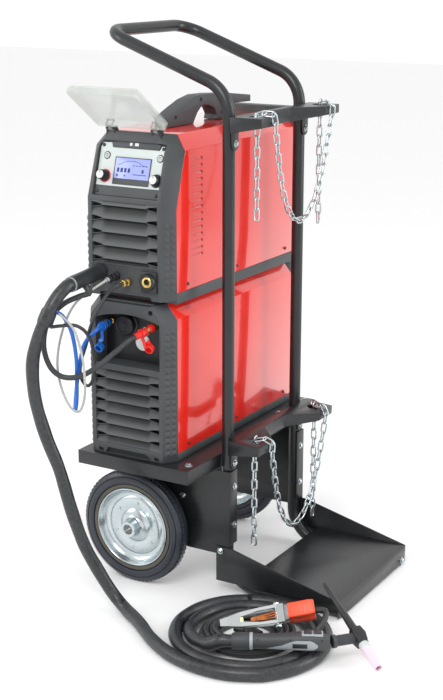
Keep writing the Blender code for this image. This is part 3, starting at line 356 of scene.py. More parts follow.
def join(*parts):
    """Several meshes in work as one."""
    whole = parts[0]
    for part in parts[1:]:
        mesh = bpy.data.meshes.new("part")
        part.to_mesh(mesh)
        part.free()
        whole.from_mesh(mesh)
        bpy.data.meshes.remove(mesh)
    return whole


def block(low, high, width=0.0, segments=2):
    bm = bmesh.new()
    bmesh.ops.create_cube(bm, size=1.0)
    bmesh.ops.scale(bm, vec=Vector(high) - Vector(low), verts=bm.verts)
    bmesh.ops.translate(bm, vec=(Vector(high) + Vector(low)) / 2, verts=bm.verts)
    return round_edges(bm, width, segments) if width else bm


def facing(along, up="X"):
    """The turn that points the Z axis this way."""
    return Vector(along).to_track_quat("Z", up).to_matrix().to_4x4()


def lathe(profile, start, along, steps=48):
    """A profile of (radius, height) turned about an axis from start.

    One that doesn't begin at radius 0 is closed into a ring.
    """
    bm = bmesh.new()
    rings = []
    for radius, height in profile:
        if radius < 1e-6:
            rings.append([bm.verts.new((0, 0, height))])
            continue
        turn = [2 * math.pi * i / steps for i in range(steps)]
        rings.append([bm.verts.new((radius * math.cos(a), radius * math.sin(a), height)) for a in turn])
    pairs = list(zip(rings, rings[1:]))
    if len(rings[0]) > 1:
        pairs.append((rings[-1], rings[0]))
    for first, second in pairs:
        for i in range(steps):
            j = (i + 1) % steps
            corners = [first[i % len(first)], first[j % len(first)]]
            corners += [second[j % len(second)], second[i % len(second)]]
            unique = list(dict.fromkeys(corners))
            if len(unique) > 2:
                bm.faces.new(unique)
    bmesh.ops.transform(bm, matrix=Matrix.Translation(start) @ facing(along), verts=bm.verts)
    return bm


def hoop(inner, outer, low, high, start, along, steps):
    """A flat-sided ring about an axis, between two radii and two heights."""
    return lathe([(inner, low), (outer, low), (outer, high), (inner, high)], start, along, steps)


def drum(start, end, radius, edge=0.0006, steps=40):
    """A round bar between two points, with rounded edges."""
    line = Vector(end) - Vector(start)
    long = line.length
    soft = edge * 0.3
    profile = [(0, 0), (radius - edge, 0), (radius - soft, soft), (radius, edge)]
    profile += [(radius, long - edge), (radius - soft, long - soft), (radius - edge, long), (0, long)]
    return lathe(profile, start, line, steps)


def hull(points, width=0.0, segments=2):
    bm = bmesh.new()
    for point in points:
        bm.verts.new(point)
    bmesh.ops.convex_hull(bm, input=bm.verts)
    bmesh.ops.dissolve_limit(bm, angle_limit=0.002, verts=bm.verts, edges=bm.edges)
    return round_edges(bm, width, segments) if width else bm


def prism(outline, low, high, plane="XZ", width=0.0, segments=2):
    """A flat outline thickened along the third axis: Y for XZ, X for YZ, Z for XY."""
    put = {
        "XZ": lambda u, v, w: (u, w, v),
        "YZ": lambda u, v, w: (w, u, v),
        "XY": lambda u, v, w: (u, v, w),
    }[plane]
    bm = bmesh.new()
    near = [bm.verts.new(put(u, v, low)) for u, v in outline]
    far = [bm.verts.new(put(u, v, high)) for u, v in outline]
    bm.faces.new(near)
    bm.faces.new(far[::-1])
    for i in range(len(outline)):
        j = (i + 1) % len(outline)
        bm.faces.new((near[i], far[i], far[j], near[j]))
    bmesh.ops.recalc_face_normals(bm, faces=bm.faces)
    return round_edges(bm, width, segments) if width else bm


def boolean(first, second, operation="DIFFERENCE"):
    """Cuts the second solid from the first, or joins it on."""
    objects = []
    for bm in (first, second):
        bmesh.ops.recalc_face_normals(bm, faces=bm.faces)
        mesh = bpy.data.meshes.new("work")
        bm.to_mesh(mesh)
        bm.free()
        obj = bpy.data.objects.new("work", mesh)
        bpy.context.scene.collection.objects.link(obj)
        objects.append(obj)
    modifier = objects[0].modifiers.new("work", "BOOLEAN")
    modifier.operation = operation
    modifier.solver = "EXACT"
    modifier.object = objects[1]
    graph = bpy.context.evaluated_depsgraph_get()
    made = bpy.data.meshes.new_from_object(objects[0].evaluated_get(graph))
    bm = bmesh.new()
    bm.from_mesh(made)
    for obj in objects:
        mesh = obj.data
        bpy.data.objects.remove(obj)
        bpy.data.meshes.remove(mesh)
    bpy.data.meshes.remove(made)
    bmesh.ops.remove_doubles(bm, verts=bm.verts, dist=1e-6)
    bmesh.ops.dissolve_limit(bm, angle_limit=0.002, verts=bm.verts, edges=bm.edges)
    return bm


def placed(bm, matrix):
    bmesh.ops.transform(bm, matrix=matrix, verts=bm.verts)
    return bm


def piece(name, bm, body, slot, stands_for=(), surface=None, smooth=SMOOTH_ANGLE):
    return add(name, to_mesh(name, bm, smooth), body, slot, stands_for, surface)


def curve_piece(name, points, radius, body, slot, stands_for=(), surface=None, sides=6, radii=None):
    curve = bpy.data.curves.new(name, "CURVE")
    curve.dimensions = "3D"
    curve.bevel_depth = radius
    curve.bevel_resolution = sides
    curve.use_fill_caps = True
    spline = curve.splines.new("POLY")
    spline.points.add(len(points) - 1)
    for i, (point, place) in enumerate(zip(spline.points, points)):
        point.co = (*place, 1)
        point.radius = radii[i] if radii else 1.0
    spline.use_smooth = True
    return add(name, curve, body, slot, stands_for, surface)


def refined(node, slot, body=TROLLEY, width=0.0008, segments=2, smooth=SMOOTH_ANGLE, surface=None):
    """The node's own shape, with its edges rounded and its round faces smooth."""
    bm = bmesh.new()
    bm.from_mesh(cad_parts[node].data)
    bmesh.ops.remove_doubles(bm, verts=bm.verts, dist=2e-6)
    bmesh.ops.dissolve_limit(bm, angle_limit=0.004, verts=bm.verts, edges=bm.edges)
    round_edges(bm, width, segments)
    name = node + "_shape"
    return add(name, to_mesh(name, bm, smooth), body, slot, [node], surface, at=(0, 0, 0))


def rounded_path(corners, radii, steps=14):
    path = [Vector(corners[0])]
    for before, corner, after, radius in zip(corners, corners[1:], corners[2:], radii):
        corner = Vector(corner)
        back = (Vector(before) - corner).normalized()
        on = (Vector(after) - corner).normalized()
        half = back.angle(on) / 2
        centre = corner + (back + on).normalized() * (radius / math.sin(half))
        first = corner + back * (radius / math.tan(half)) - centre
        last = corner + on * (radius / math.tan(half)) - centre
        sweep = first.angle(last)
        for i in range(steps + 1):
            t = i / steps
            reach = math.sin((1 - t) * sweep) * first + math.sin(t * sweep) * last
            path.append(centre + reach / math.sin(sweep))
    path.append(Vector(corners[-1]))
    return path


def smooth_route(points, spacing):
    """Points about this far apart on a smooth curve through a route's own points."""
    route = [Vector(p) for p in points]
    ends = [2 * route[0] - route[1]] + route + [2 * route[-1] - route[-2]]
    fine = []
    for a, b, c, d in zip(ends, ends[1:], ends[2:], ends[3:]):
        for i in range(16):
            t = i / 16
            square = (2 * a - 5 * b + 4 * c - d) * t**2
            cube = (3 * b - a - 3 * c + d) * t**3
            fine.append(0.5 * (2 * b + (c - a) * t + square + cube))
    fine.append(route[-1])
    total = sum((q - p).length for p, q in zip(fine, fine[1:]))
    count = max(2, round(total / spacing))
    wanted = [total * i / count for i in range(count + 1)]
    even = [fine[0]]
    walked = 0.0
    for p, q in zip(fine, fine[1:]):
        step = (q - p).length
        while len(even) < count and walked + step >= wanted[len(even)]:
            even.append(p.lerp(q, (wanted[len(even)] - walked) / step))
        walked += step
    even.append(fine[-1])
    return even


def length_of(points):
    return sum((Vector(q) - Vector(p)).length for p, q in zip(points, points[1:]))


def axes_at(origin, along, up):
    x = Vector(along).normalized()
    y = Vector(up).cross(x).normalized()
    z = x.cross(y)
    return Matrix.Translation(origin) @ Matrix((x, y, z)).transposed().to_4x4()


def beyond(ends, extra):
    first, last = (Vector(p) for p in ends)
    return last + (last - first).normalized() * extra


def loft(sections, frame_at):
    """A closed skin through rings of points, each a list of (x, y, z) in the same order."""
    bm = bmesh.new()
    rings = [[bm.verts.new(frame_at @ Vector(p)) for p in ring] for ring in sections]
    count = len(rings[0])
    for first, second in zip(rings, rings[1:]):
        for i in range(count):
            j = (i + 1) % count
            bm.faces.new((first[i], first[j], second[j], second[i]))
    bm.faces.new(rings[0])
    bm.faces.new(rings[-1][::-1])
    return bm


def oval(x, half_y, half_z, centre_z=0.0, power=2.6, count=32):
    """A rounded-square ring across the X axis."""
    ring = []
    for i in range(count):
        a = 2 * math.pi * i / count
        c, s = math.cos(a), math.sin(a)
        r = (abs(c) ** power + abs(s) ** power) ** (-1 / power)
        ring.append((x, half_y * c * r, centre_z + half_z * s * r))
    return ring


def screw_head(at, out, radius=0.0036):
    """A domed screw head."""
    return lathe(
        [(0, 0), (radius, 0), (radius, 0.0008), (radius * 0.75, 0.0019), (radius * 0.3, 0.0023), (0, 0.0024)],
        at, out, 20,
    )


def bolt(at, out, radius=0.0045):
    """A hexagon bolt head on its washer."""
    washer = lathe(
        [(0, 0), (radius * 1.7, 0), (radius * 1.7, 0.001), (radius * 1.6, 0.0014), (0, 0.0014)], at, out, 28
    )
    start = Vector(at) + Vector(out).normalized() * 0.0012
    profile = [(0, 0), (radius * 1.15, 0), (radius * 1.15, radius * 0.75)]
    profile += [(radius * 0.95, radius * 0.9), (0, radius * 0.9)]
    head = lathe(profile, start, out, 6)
    return join(washer, head)


# ---------------------------------------------------------------- cords


def spiral(first, last, turn_from, turn_to, height_from, height_to, count):
    """Points on a spiral about the coils' centre; the angles are degrees."""
    points = []
    for i in range(1, count + 1):
        t = i / count
        a = math.radians(turn_from + (turn_to - turn_from) * t)
        r = first + (last - first) * t
        height = height_from + (height_to - height_from) * t
        points.append(COIL_AT + Vector((r * math.cos(a), r * math.sin(a), height)))
    return points


TORCH_PLUG = (Vector((-0.2275, -0.2707, 0.690)), Vector((-0.2245, -0.375, 0.683)))
RED_COUPLING = (Vector((-0.1043, -0.2325, 0.591)), Vector((-0.126, -0.300, 0.573)))
BLUE_COUPLING = (Vector((-0.2277, -0.2320, 0.580)), Vector((-0.211, -0.300, 0.581)))
CONTROL_PLUG = (Vector((-0.188, -0.2706, 0.6845)), Vector((-0.190, -0.299, 0.6815)))
GAS_FITTING = (Vector((-0.160, -0.2706, 0.6755)), Vector((-0.163, -0.290, 0.674)))

TORCH_ROUTE = [
    (-0.231, -0.410, 0.665), (-0.241, -0.430, 0.633), (-0.263, -0.435, 0.581), (-0.278, -0.435, 0.528),
    (-0.278, -0.430, 0.455), (-0.262, -0.420, 0.377), (-0.239, -0.410, 0.308), (-0.220, -0.400, 0.223),
    (-0.201, -0.385, 0.145), (-0.180, -0.365, 0.083), (-0.153, -0.355, 0.036), (-0.115, -0.365, 0.0145),
    (-0.060, -0.400, 0.0135), (0.005, -0.450, 0.0135), (0.075, -0.486, 0.0135), (0.140, -0.4985, 0.0135),
    (0.200, -0.4915, 0.0135), (0.255, -0.4660, 0.0135),
]
RED_ROUTE = [
    (-0.155, -0.330, 0.544), (-0.186, -0.345, 0.515), (-0.224, -0.355, 0.491), (-0.257, -0.370, 0.490),
    (-0.275, -0.385, 0.514), (-0.280, -0.395, 0.559), (-0.269, -0.392, 0.608), (-0.246, -0.375, 0.640),
    (-0.225, -0.350, 0.6535), (-0.214, -0.335, 0.6570),
]
BLUE_ROUTE = [
    (-0.232, -0.322, 0.552), (-0.241, -0.328, 0.513), (-0.249, -0.330, 0.465), (-0.252, -0.333, 0.425),
    (-0.249, -0.338, 0.411), (-0.242, -0.342, 0.433), (-0.238, -0.345, 0.479), (-0.233, -0.352, 0.530),
    (-0.231, -0.368, 0.585), (-0.233, -0.390, 0.620), (-0.2375, -0.4080, 0.6345),
]
GAS_ROUTE = [
    (-0.181, -0.303, 0.662), (-0.202, -0.310, 0.628), (-0.2235, -0.312, 0.587), (-0.238, -0.310, 0.545),
    (-0.253, -0.310, 0.503), (-0.253, -0.310, 0.473), (-0.239, -0.309, 0.457), (-0.226, -0.308, 0.470),
    (-0.217, -0.312, 0.505), (-0.211, -0.325, 0.545), (-0.211, -0.345, 0.580), (-0.218, -0.370, 0.600),
    (-0.231, -0.396, 0.604), (-0.245, -0.417, 0.604),
]
CONTROL_ROUTE = [
    (-0.219, -0.325, 0.658), (-0.243, -0.338, 0.634), (-0.258, -0.350, 0.599), (-0.272, -0.355, 0.550),
    (-0.274, -0.360, 0.503), (-0.261, -0.364, 0.459), (-0.236, -0.370, 0.428), (-0.213, -0.372, 0.425),
    (-0.200, -0.372, 0.458), (-0.199, -0.372, 0.502), (-0.203, -0.374, 0.544), (-0.209, -0.386, 0.592),
    (-0.219, -0.403, 0.620), (-0.2270, -0.4140, 0.6320),
]


def small_hose(name, node, ends, straight, rest, radius, slot):
    """A hose or lead that leaves its fitting straight for a short way and then follows its route."""
    route = [beyond(ends, 0.0003)] + smooth_route([beyond(ends, straight)] + rest, 0.006)
    made = curve_piece(name, route, radius, TROLLEY, slot, [node])


def clamp_axes():
    return axes_at(CLAMP_TIP, CLAMP_END - CLAMP_TIP, (0, 0, 1)) @ Matrix.Rotation(CLAMP_ROLL, 4, "X")


def torch_cord():
    """The torch's bundle: plug, sweep to the floor, two turns of its coil, and up into the handle."""
    sweep = smooth_route([beyond(TORCH_PLUG, 0.014)] + TORCH_ROUTE, 0.012)
    turns = spiral(0.174, 0.146, -53, 60, 0.0135, 0.0133, 12)
    turns += spiral(0.146, 0.144, 60, 307, 0.0133, 0.0133, 26)
    turns += spiral(0.144, 0.118, 307, 430, 0.0133, 0.0133, 13)
    turns += spiral(0.118, 0.117, 430, 560, 0.0133, 0.0135, 13)
    turns += spiral(0.117, 0.112, 560, 618, 0.0135, 0.0300, 6)
    along = (HANDLE_FRONT - HANDLE_REAR).normalized()
    handle = [HANDLE_REAR - along * 0.022, HANDLE_REAR - along * 0.004]
    handle += [HANDLE_REAR + along * reach for reach in (0.02, 0.06, 0.11, 0.160)]
    end = smooth_route([TORCH_ROUTE[-1]] + turns + handle, 0.011)
    route = [beyond(TORCH_PLUG, 0.0003)] + sweep + end[1:]
    radii = []
    walked = 0.0
    total = length_of(route)
    for i, point in enumerate(route):
        if i:
            walked += (Vector(point) - Vector(route[i - 1])).length
        wave = 0.022 * math.sin(walked * 41.0) + 0.014 * math.sin(walked * 97.0 + 1.3)
        inside = 0.92 if walked > total - 0.17 else 1.0
        radii.append((1.0 + wave) * inside)
    made = curve_piece(
        "torch_bundle", route, TORCH_HOSE_R, TROLLEY, "hose_rubber", ["torch_hose", "torch_hose_coil"],
        HOSE_COVER, 7, radii,
    )


def earth_cord(with_pieces):
    """The earth cable: from its plug in the coil out along the floor, in again on top, up to the clamp."""
    plug_end = COIL_AT + Vector((0.030, 0, 0.0145))
    start = [plug_end + Vector((-0.004, 0, 0)), plug_end + Vector((0.010, 0.004, -0.003))]
    turns = start + [COIL_AT + Vector((0.050, 0.018, 0.0085))]
    turns += spiral(0.0535, 0.0900, 42, 1240, 0.0064, 0.0064, 58)
    turns += spiral(0.0900, 0.0930, 1240, 1330, 0.0064, 0.0186, 6)
    turns += spiral(0.0930, 0.0600, 1330, 2330, 0.0186, 0.0186, 50)
    turns += spiral(0.0600, 0.0690, 2330, 2400, 0.0190, 0.0318, 5)
    turns += spiral(0.0690, 0.1000, 2400, 2502, 0.0318, 0.0322, 6)
    axes = clamp_axes()
    down = axes.to_3x3() @ Vector((0, 0, 0.009))
    into = (CLAMP_TIP - CLAMP_END).normalized()
    lead = [
        (0.258, -0.3425, 0.0335), (0.275, -0.337, 0.038), (0.296, -0.322, 0.050), (0.303, -0.302, 0.066),
        (0.296, -0.281, 0.076), beyond((CLAMP_TIP, CLAMP_END), 0.001) - down,
        CLAMP_END + into * 0.022 - down * 0.75, CLAMP_END + into * 0.050 - down * 0.45,
    ]
    route = smooth_route(turns + lead, 0.0065)
    made = curve_piece(
        "earth_lead", route, EARTH_CABLE_R, TROLLEY, "hose_rubber", ["earth_cable", "earth_cable_coil"]
    )


# ---------------------------------------------------------------- trolley


def trolley():
    run = [(FOOT_END, -TUBE_Y, TUBE_R), (0, -TUBE_Y, TUBE_R)]
    run += [(0, -TUBE_Y, BEND_Z), (HANDLE_X, -TUBE_Y, HANDLE_Z)]
    run += [(x, -y, z) for x, y, z in run[::-1]]
    path = rounded_path(run, [0.075, 0.072, 0.048, 0.048, 0.072, 0.075])
    tubes = ["frame_tube_front", "frame_tube_rear", "handle_bow"]
    curve_piece("push_frame", path, TUBE_R, TROLLEY, "powder_black", tubes, sides=10)
    profile = [(0, -0.012), (0.0108, -0.012), (0.0108, 0), (0.0122, 0.0002)]
    profile += [(0.0118, 0.0022), (0.0085, 0.0032), (0, 0.0034)]
    for side, end in SIDES:
        cap = lathe(profile, (FOOT_END, side * TUBE_Y, TUBE_R), (1, 0, 0), 32)
        piece("foot_cap_" + end, cap, TROLLEY, "black_plastic")
    plates = ["upper_cradle", "lower_cradle", "side_plate_front", "side_plate_rear"]
    for node in plates + ["machine_shelf", "toe_plate"]:
        refined(node, "powder_black", width=0.0009)
    refined("axle", "zinc", width=0.0008)
    heads = [bolt((-0.034, -0.251, 0.304), (0, 0, 1), 0.0050)]
    places = [((-0.040, 0.147, 0.304), (0, 0, 1)), ((-0.255, -0.251, 0.304), (0, 0, 1))]
    places += [((-0.255, 0.262, 0.304), (0, 0, 1)), ((-0.034, 0.262, 0.304), (0, 0, 1))]
    for side in (-1, 1):
        for height in (0.236, 0.150):
            places.append(((0.0153, side * 0.149, height), (1, 0, 0)))
        places.append(((0.271, side * 0.149, 0.013), (1, 0, 0)))
        places.append(((-0.006, side * 0.1700, 0.094), (0, side, 0)))
        places.append(((-0.100, side * 0.167, 0.200), (0, side, 0)))
    heads += [bolt(at, out, 0.0042) for at, out in places]
    piece("bolts", join(*heads), TROLLEY, "zinc")
    nuts = []
    for height, level in (("low", 0.341), ("high", 1.001)):
        for side, end in SIDES:
            y = side * TUBE_Y
            outline = [(y - 0.0125, level - 0.030), (y - 0.0125, level - 0.055)]
            for i in range(1, 10):
                a = math.pi + math.pi * i / 10
                outline.append((y + 0.0125 * math.cos(a), level - 0.055 + 0.0125 * math.sin(a)))
            outline += [(y + 0.0125, level - 0.055), (y + 0.0125, level - 0.030)]
            tab = prism(outline, TUBE_R + 0.0003, TUBE_R + 0.0028, "YZ", 0.0005)
            nuts.append(bolt((TUBE_R + 0.0028, y, level - 0.053), (1, 0, 0), 0.0042))
            piece(f"cradle_tab_{height}_{end}", tab, TROLLEY, "powder_black")
    piece("cradle_bolts", join(*nuts), TROLLEY, "zinc")


def wheels():
    for side, end in SIDES:
        centre = Vector((WHEEL_X, side * WHEEL_Y, WHEEL_R))
        outward = Vector((0, side, 0))
        body = end + "_wheel"
        half = [
            (RIM_R + 0.0002, 0.0128), (RIM_R + 0.0016, 0.0158), (RIM_R + 0.0080, 0.0164),
            (RIM_R + 0.0092, 0.0150), (RIM_R + 0.0102, 0.0150), (RIM_R + 0.0116, 0.0182),
            (RIM_R + 0.0150, 0.0190), (RIM_R + 0.0205, 0.0190), (RIM_R + 0.0235, 0.0178),
            (RIM_R + 0.0245, 0.0158), (RIM_R + 0.0258, 0.0158), (RIM_R + 0.0268, 0.0172),
            (WHEEL_R - 0.0060, 0.0152), (WHEEL_R - 0.0028, 0.0124),
            (WHEEL_R - 0.0026, 0.0112), (WHEEL_R - 0.0036, 0.0104), (WHEEL_R - 0.0030, 0.0050),
            (WHEEL_R - 0.0002, 0.0042), (WHEEL_R, 0.0010),
        ]
        tyre = half + [(r, -h) for r, h in reversed(half)]
        piece(f"tyre_{end}_shape", lathe(tyre, centre, outward, 96), body, "tyre_rubber", ["tyre_" + end])
        profile = [(RIM_R + 0.0014, 0.0154), (RIM_R + 0.0082, 0.0160)]
        profile += [(RIM_R + 0.0082, 0.0168), (RIM_R + 0.0014, 0.0164)]
        bead = lathe(profile, centre, outward, 96)
        piece("tyre_bead_" + end, bead, body, "tyre_rubber", surface=OLIVE_RUBBER)
        lugs = []
        for i in range(72):
            a = 2 * math.pi * i / 72
            for low, high in ((0.0058, 0.0094), (-0.0094, -0.0058)):
                lug = hull([
                    (r * math.cos(a + t), y, r * math.sin(a + t))
                    for r in (WHEEL_R - 0.0032, WHEEL_R - 0.0002)
                    for t in (-0.022, 0.022)
                    for y in (low, high)
                ])
                lugs.append(placed(lug, Matrix.Translation(centre)))
        piece("tyre_lugs_" + end, join(*lugs), body, "tyre_rubber")
        disc = [
            (RIM_R, 0.0148), (RIM_R - 0.0006, 0.0172), (RIM_R - 0.0022, 0.0178), (RIM_R - 0.0040, 0.0160),
            (RIM_R - 0.0060, 0.0110), (RIM_R - 0.0105, 0.0040), (0.0700, 0.0006), (0.0660, 0.0004),
            (0.0640, 0.0018), (0.0615, 0.0030), (0.0420, 0.0034), (0.0395, 0.0022), (0.0370, 0.0022),
            (0.0350, 0.0040), (0.0300, 0.0064), (0.0255, 0.0076), (0.0215, 0.0090), (HUB_R + 0.0012, 0.0114),
            (HUB_R, 0.0140), (HUB_R - 0.0004, HUB_HALF - 0.0016), (HUB_R - 0.0014, HUB_HALF - 0.0003),
            (0.0140, HUB_HALF), (0.0112, HUB_HALF - 0.0003), (0.0104, HUB_HALF - 0.0016),
        ]
        rim = lathe(disc[::-1] + [(r, -h) for r, h in disc], centre, outward, 96)
        piece(f"rim_{end}_shape", rim, body, "zinc", ["wheel_rim_" + end], smooth=32)
        rivets = []
        for i in range(6):
            a = math.radians(22 + 60 * i)
            at = centre + Vector((0.051 * math.cos(a), side * 0.0030, 0.051 * math.sin(a)))
            profile = [(0, 0), (0.0042, 0), (0.0038, 0.0010), (0.0022, 0.0018), (0, 0.0021)]
            rivets.append(lathe(profile, at, outward, 20))
        piece("rivets_" + end, join(*rivets), body, "zinc")
        profile = [(0, 0.0312), (0.0096, 0.0312), (0.0096, 0.0320), (0.0088, 0.0324), (0, 0.0318)]
        cup = lathe(profile, centre, outward, 32)
        piece("axle_cap_" + end, cup, TROLLEY, "zinc", surface=DARK_STEEL)
        tip = Vector((0.0085, side * 0.0330, 0.0060))
        tail = Vector((-0.0085, side * 0.0330, -0.0060))
        pin = drum(centre + tail, centre + tip, 0.0009)
        piece("axle_pin_" + end, pin, TROLLEY, "zinc")


def link_shape(at, along, up, length, width, wire, sides=8, steps=10):
    """One welded chain link: a round wire bent to a stadium."""
    axes = axes_at(at, along, up)
    straight = (length - width) / 2
    radius = (width - wire) / 2
    centre = []
    for end in (1, -1):
        for i in range(steps + 1):
            a = math.radians(-90 + 180 * i / steps) if end > 0 else math.radians(90 + 180 * i / steps)
            centre.append(Vector((end * straight + radius * math.cos(a), radius * math.sin(a), 0)))
    bm = bmesh.new()
    rings = []
    count = len(centre)
    for i, point in enumerate(centre):
        ahead = (centre[(i + 1) % count] - centre[i - 1]).normalized()
        side = Vector((0, 0, 1)).cross(ahead)
        ring = []
        for k in range(sides):
            a = 2 * math.pi * k / sides
            offset = (side * math.cos(a) + Vector((0, 0, 1)) * math.sin(a)) * wire / 2
            ring.append(bm.verts.new(axes @ (point + offset)))
        rings.append(ring)
    for i in range(count):
        first, second = rings[i], rings[(i + 1) % count]
        for k in range(sides):
            j = (k + 1) % sides
            bm.faces.new((first[k], first[j], second[j], second[k]))
    return bm


def chain(name, node, top, tip_top, tails, drop):
    hole_x, front_x = 0.056, 0.0895
    hole_y = 0.136
    over = tip_top + 0.0038
    half = [
        (hole_x, hole_y, top - 0.014), (hole_x + 0.001, hole_y, over - 0.001),
        (hole_x + 0.010, hole_y - 0.002, over + 0.003), (front_x - 0.008, hole_y - 0.008, over + 0.003),
        (front_x + 0.001, hole_y - 0.012, over - 0.004),
    ]
    near = [(x, -y, z) for x, y, z in half]
    sag = []
    span = hole_y - 0.014
    for i in range(9):
        y = span * (i - 4) / 4
        rise = (math.cosh(2.2 * y / span) - 1) / (math.cosh(2.2) - 1)
        sag.append((front_x - 0.006 * (1 - rise), y, tip_top - 0.025 - (drop - 0.025) * (1 - rise)))
    start, end = [(hole_x, side * hole_y, tail) for side, tail in zip((-1, 1), tails)]
    points = smooth_route([start] + near + sag + half[::-1] + [end], 0.0205)
    links = []
    for i, (p, q) in enumerate(zip(points, points[1:])):
        along = (q - p).normalized()
        up = Vector((1, 0, 0.12)) if i % 2 else along.cross(Vector((1, 0, 0.12)))
        links.append(link_shape((p + q) / 2, along, up, 0.0285, 0.0145, 0.0036))
    piece(name, join(*links), TROLLEY, "zinc", [node], smooth=80)


# ---------------------------------------------------------------- machines


def face_y(z):
    return FRONT_Y + max(0.0, z - FACE_TURN) * math.tan(LEAN)


def seam_y(z):
    return SEAM_Y + max(0.0, z - SEAM_TURN) * math.tan(LEAN)


ON_PANEL = Matrix.Translation((0, FRONT_Y, FACE_TURN)) @ Matrix.Rotation(math.pi / 2 - LEAN, 4, "X")
OUT = ON_PANEL.to_3x3() @ Vector((0, 0, 1))


def across(half, *rest):
    return [(MID_X + side * half, *rest) for side in (-1, 1)]


def ease(t):
    t = min(1.0, max(0.0, t))
    return t * t * (3 - 2 * t)


def louvre_depth(x, z, first, pitch, count):
    """How deep the louvred front lies here: lips at the face, each over a hollow, with an eye at each end."""
    off = abs(x - MID_X)
    row = min(count - 1, max(0, round((z - first) / pitch)))
    spread = min(1.0, max(0.0, (off - EYE_FROM) / EYE_RUN))
    eye = EYE_HALF * math.sqrt(spread) if spread > 0 else 0.0
    d = z - (first + row * pitch)
    if abs(d) < eye - LIP_HALF:
        return 0.0115
    if abs(abs(d) - eye) <= LIP_HALF or (eye == 0.0 and abs(d) <= LIP_HALF):
        return 0.0
    gap = pitch - 2 * eye - 2 * LIP_HALF
    below = -d - eye - LIP_HALF if d < 0 else pitch - d - eye - LIP_HALF
    share = min(1.0, max(0.0, below / gap))
    deep = 0.0045 + 0.0070 * ease((0.056 - off) / 0.010)
    if d > 0 and row == count - 1:
        share = min(1.0, max(0.0, 1 - (d - eye - LIP_HALF) / gap))
    return deep * (1 - share) ** 1.1


def louvred_front(name, low, high, first, pitch, count):
    columns, rows = 124, round((high - low) / 0.0009)
    bm = bmesh.new()
    grid = []
    for j in range(rows + 1):
        z = low + (high - low) * j / rows
        line = []
        for i in range(columns + 1):
            x = MID_X - WINDOW_HALF + 2 * WINDOW_HALF * i / columns
            line.append(bm.verts.new((x, FRONT_Y + 0.0006 + louvre_depth(x, z, first, pitch, count), z)))
        grid.append(line)
    for lower, upper in zip(grid, grid[1:]):
        for i in range(columns):
            bm.faces.new((lower[i], lower[i + 1], upper[i + 1], upper[i]))
    right = [line[-1] for line in grid[1:]]
    left = [line[0] for line in grid[-2:0:-1]]
    border = grid[0] + right + grid[-1][-2::-1] + left
    back = [bm.verts.new((v.co.x, FRONT_Y + WINDOW_DEEP, v.co.z)) for v in border]
    for i in range(len(border)):
        j = (i + 1) % len(border)
        bm.faces.new((border[i], back[i], back[j], border[j]))
    bm.faces.new(back)
    # The louvres' surface carries a painted highlight on the lips and painted shade in the hollows.
    piece(name, bm, TROLLEY, "bezel_plastic", surface=LOUVRE_PAINTED_LIGHT, smooth=50)


def facets(name, low, high, first_gap=0.0045):
    """Two columns of four-sided studs down each flared side of a front bezel."""
    slope = Vector((CASE_HALF - FACE_HALF, SEAM_Y - FRONT_Y)).normalized()
    count = round((high - low) / 0.0137)
    pitch = (high - low) / count
    cell = 0.0128
    bm = bmesh.new()
    for side in (-1, 1):
        along = Vector((side * slope.x, slope.y, 0))
        out = Vector((side * slope.y, -slope.x, 0))
        corner = Vector((MID_X + side * FACE_HALF, FRONT_Y, 0))
        for column in range(2):
            near = corner + along * (first_gap + column * (cell + 0.0006))
            for row in range(count):
                z = low + row * pitch
                base = [near + Vector((0, 0, z)), near + along * cell + Vector((0, 0, z))]
                base += [base[1] + Vector((0, 0, pitch - 0.0006)), base[0] + Vector((0, 0, pitch - 0.0006))]
                middle = sum(base, Vector()) / 4
                sunk = [bm.verts.new(p - out * 0.0012) for p in base]
                rim = [bm.verts.new(p + out * 0.0001) for p in base]
                peak = bm.verts.new(middle + out * 0.0026)
                bm.faces.new(sunk)
                for i in range(4):
                    j = (i + 1) % 4
                    bm.faces.new((sunk[i], sunk[j], rim[j], rim[i]))
                    bm.faces.new((rim[i], rim[j], peak))
    piece(name, bm, TROLLEY, "bezel_plastic", smooth=12)


def window_block(window):
    """What is cut from a front bezel between these two heights, to take its louvres."""
    low, high = window
    start = (MID_X - WINDOW_HALF, FRONT_Y - 0.01, low)
    return block(start, (MID_X + WINDOW_HALF, FRONT_Y + WINDOW_DEEP, high))


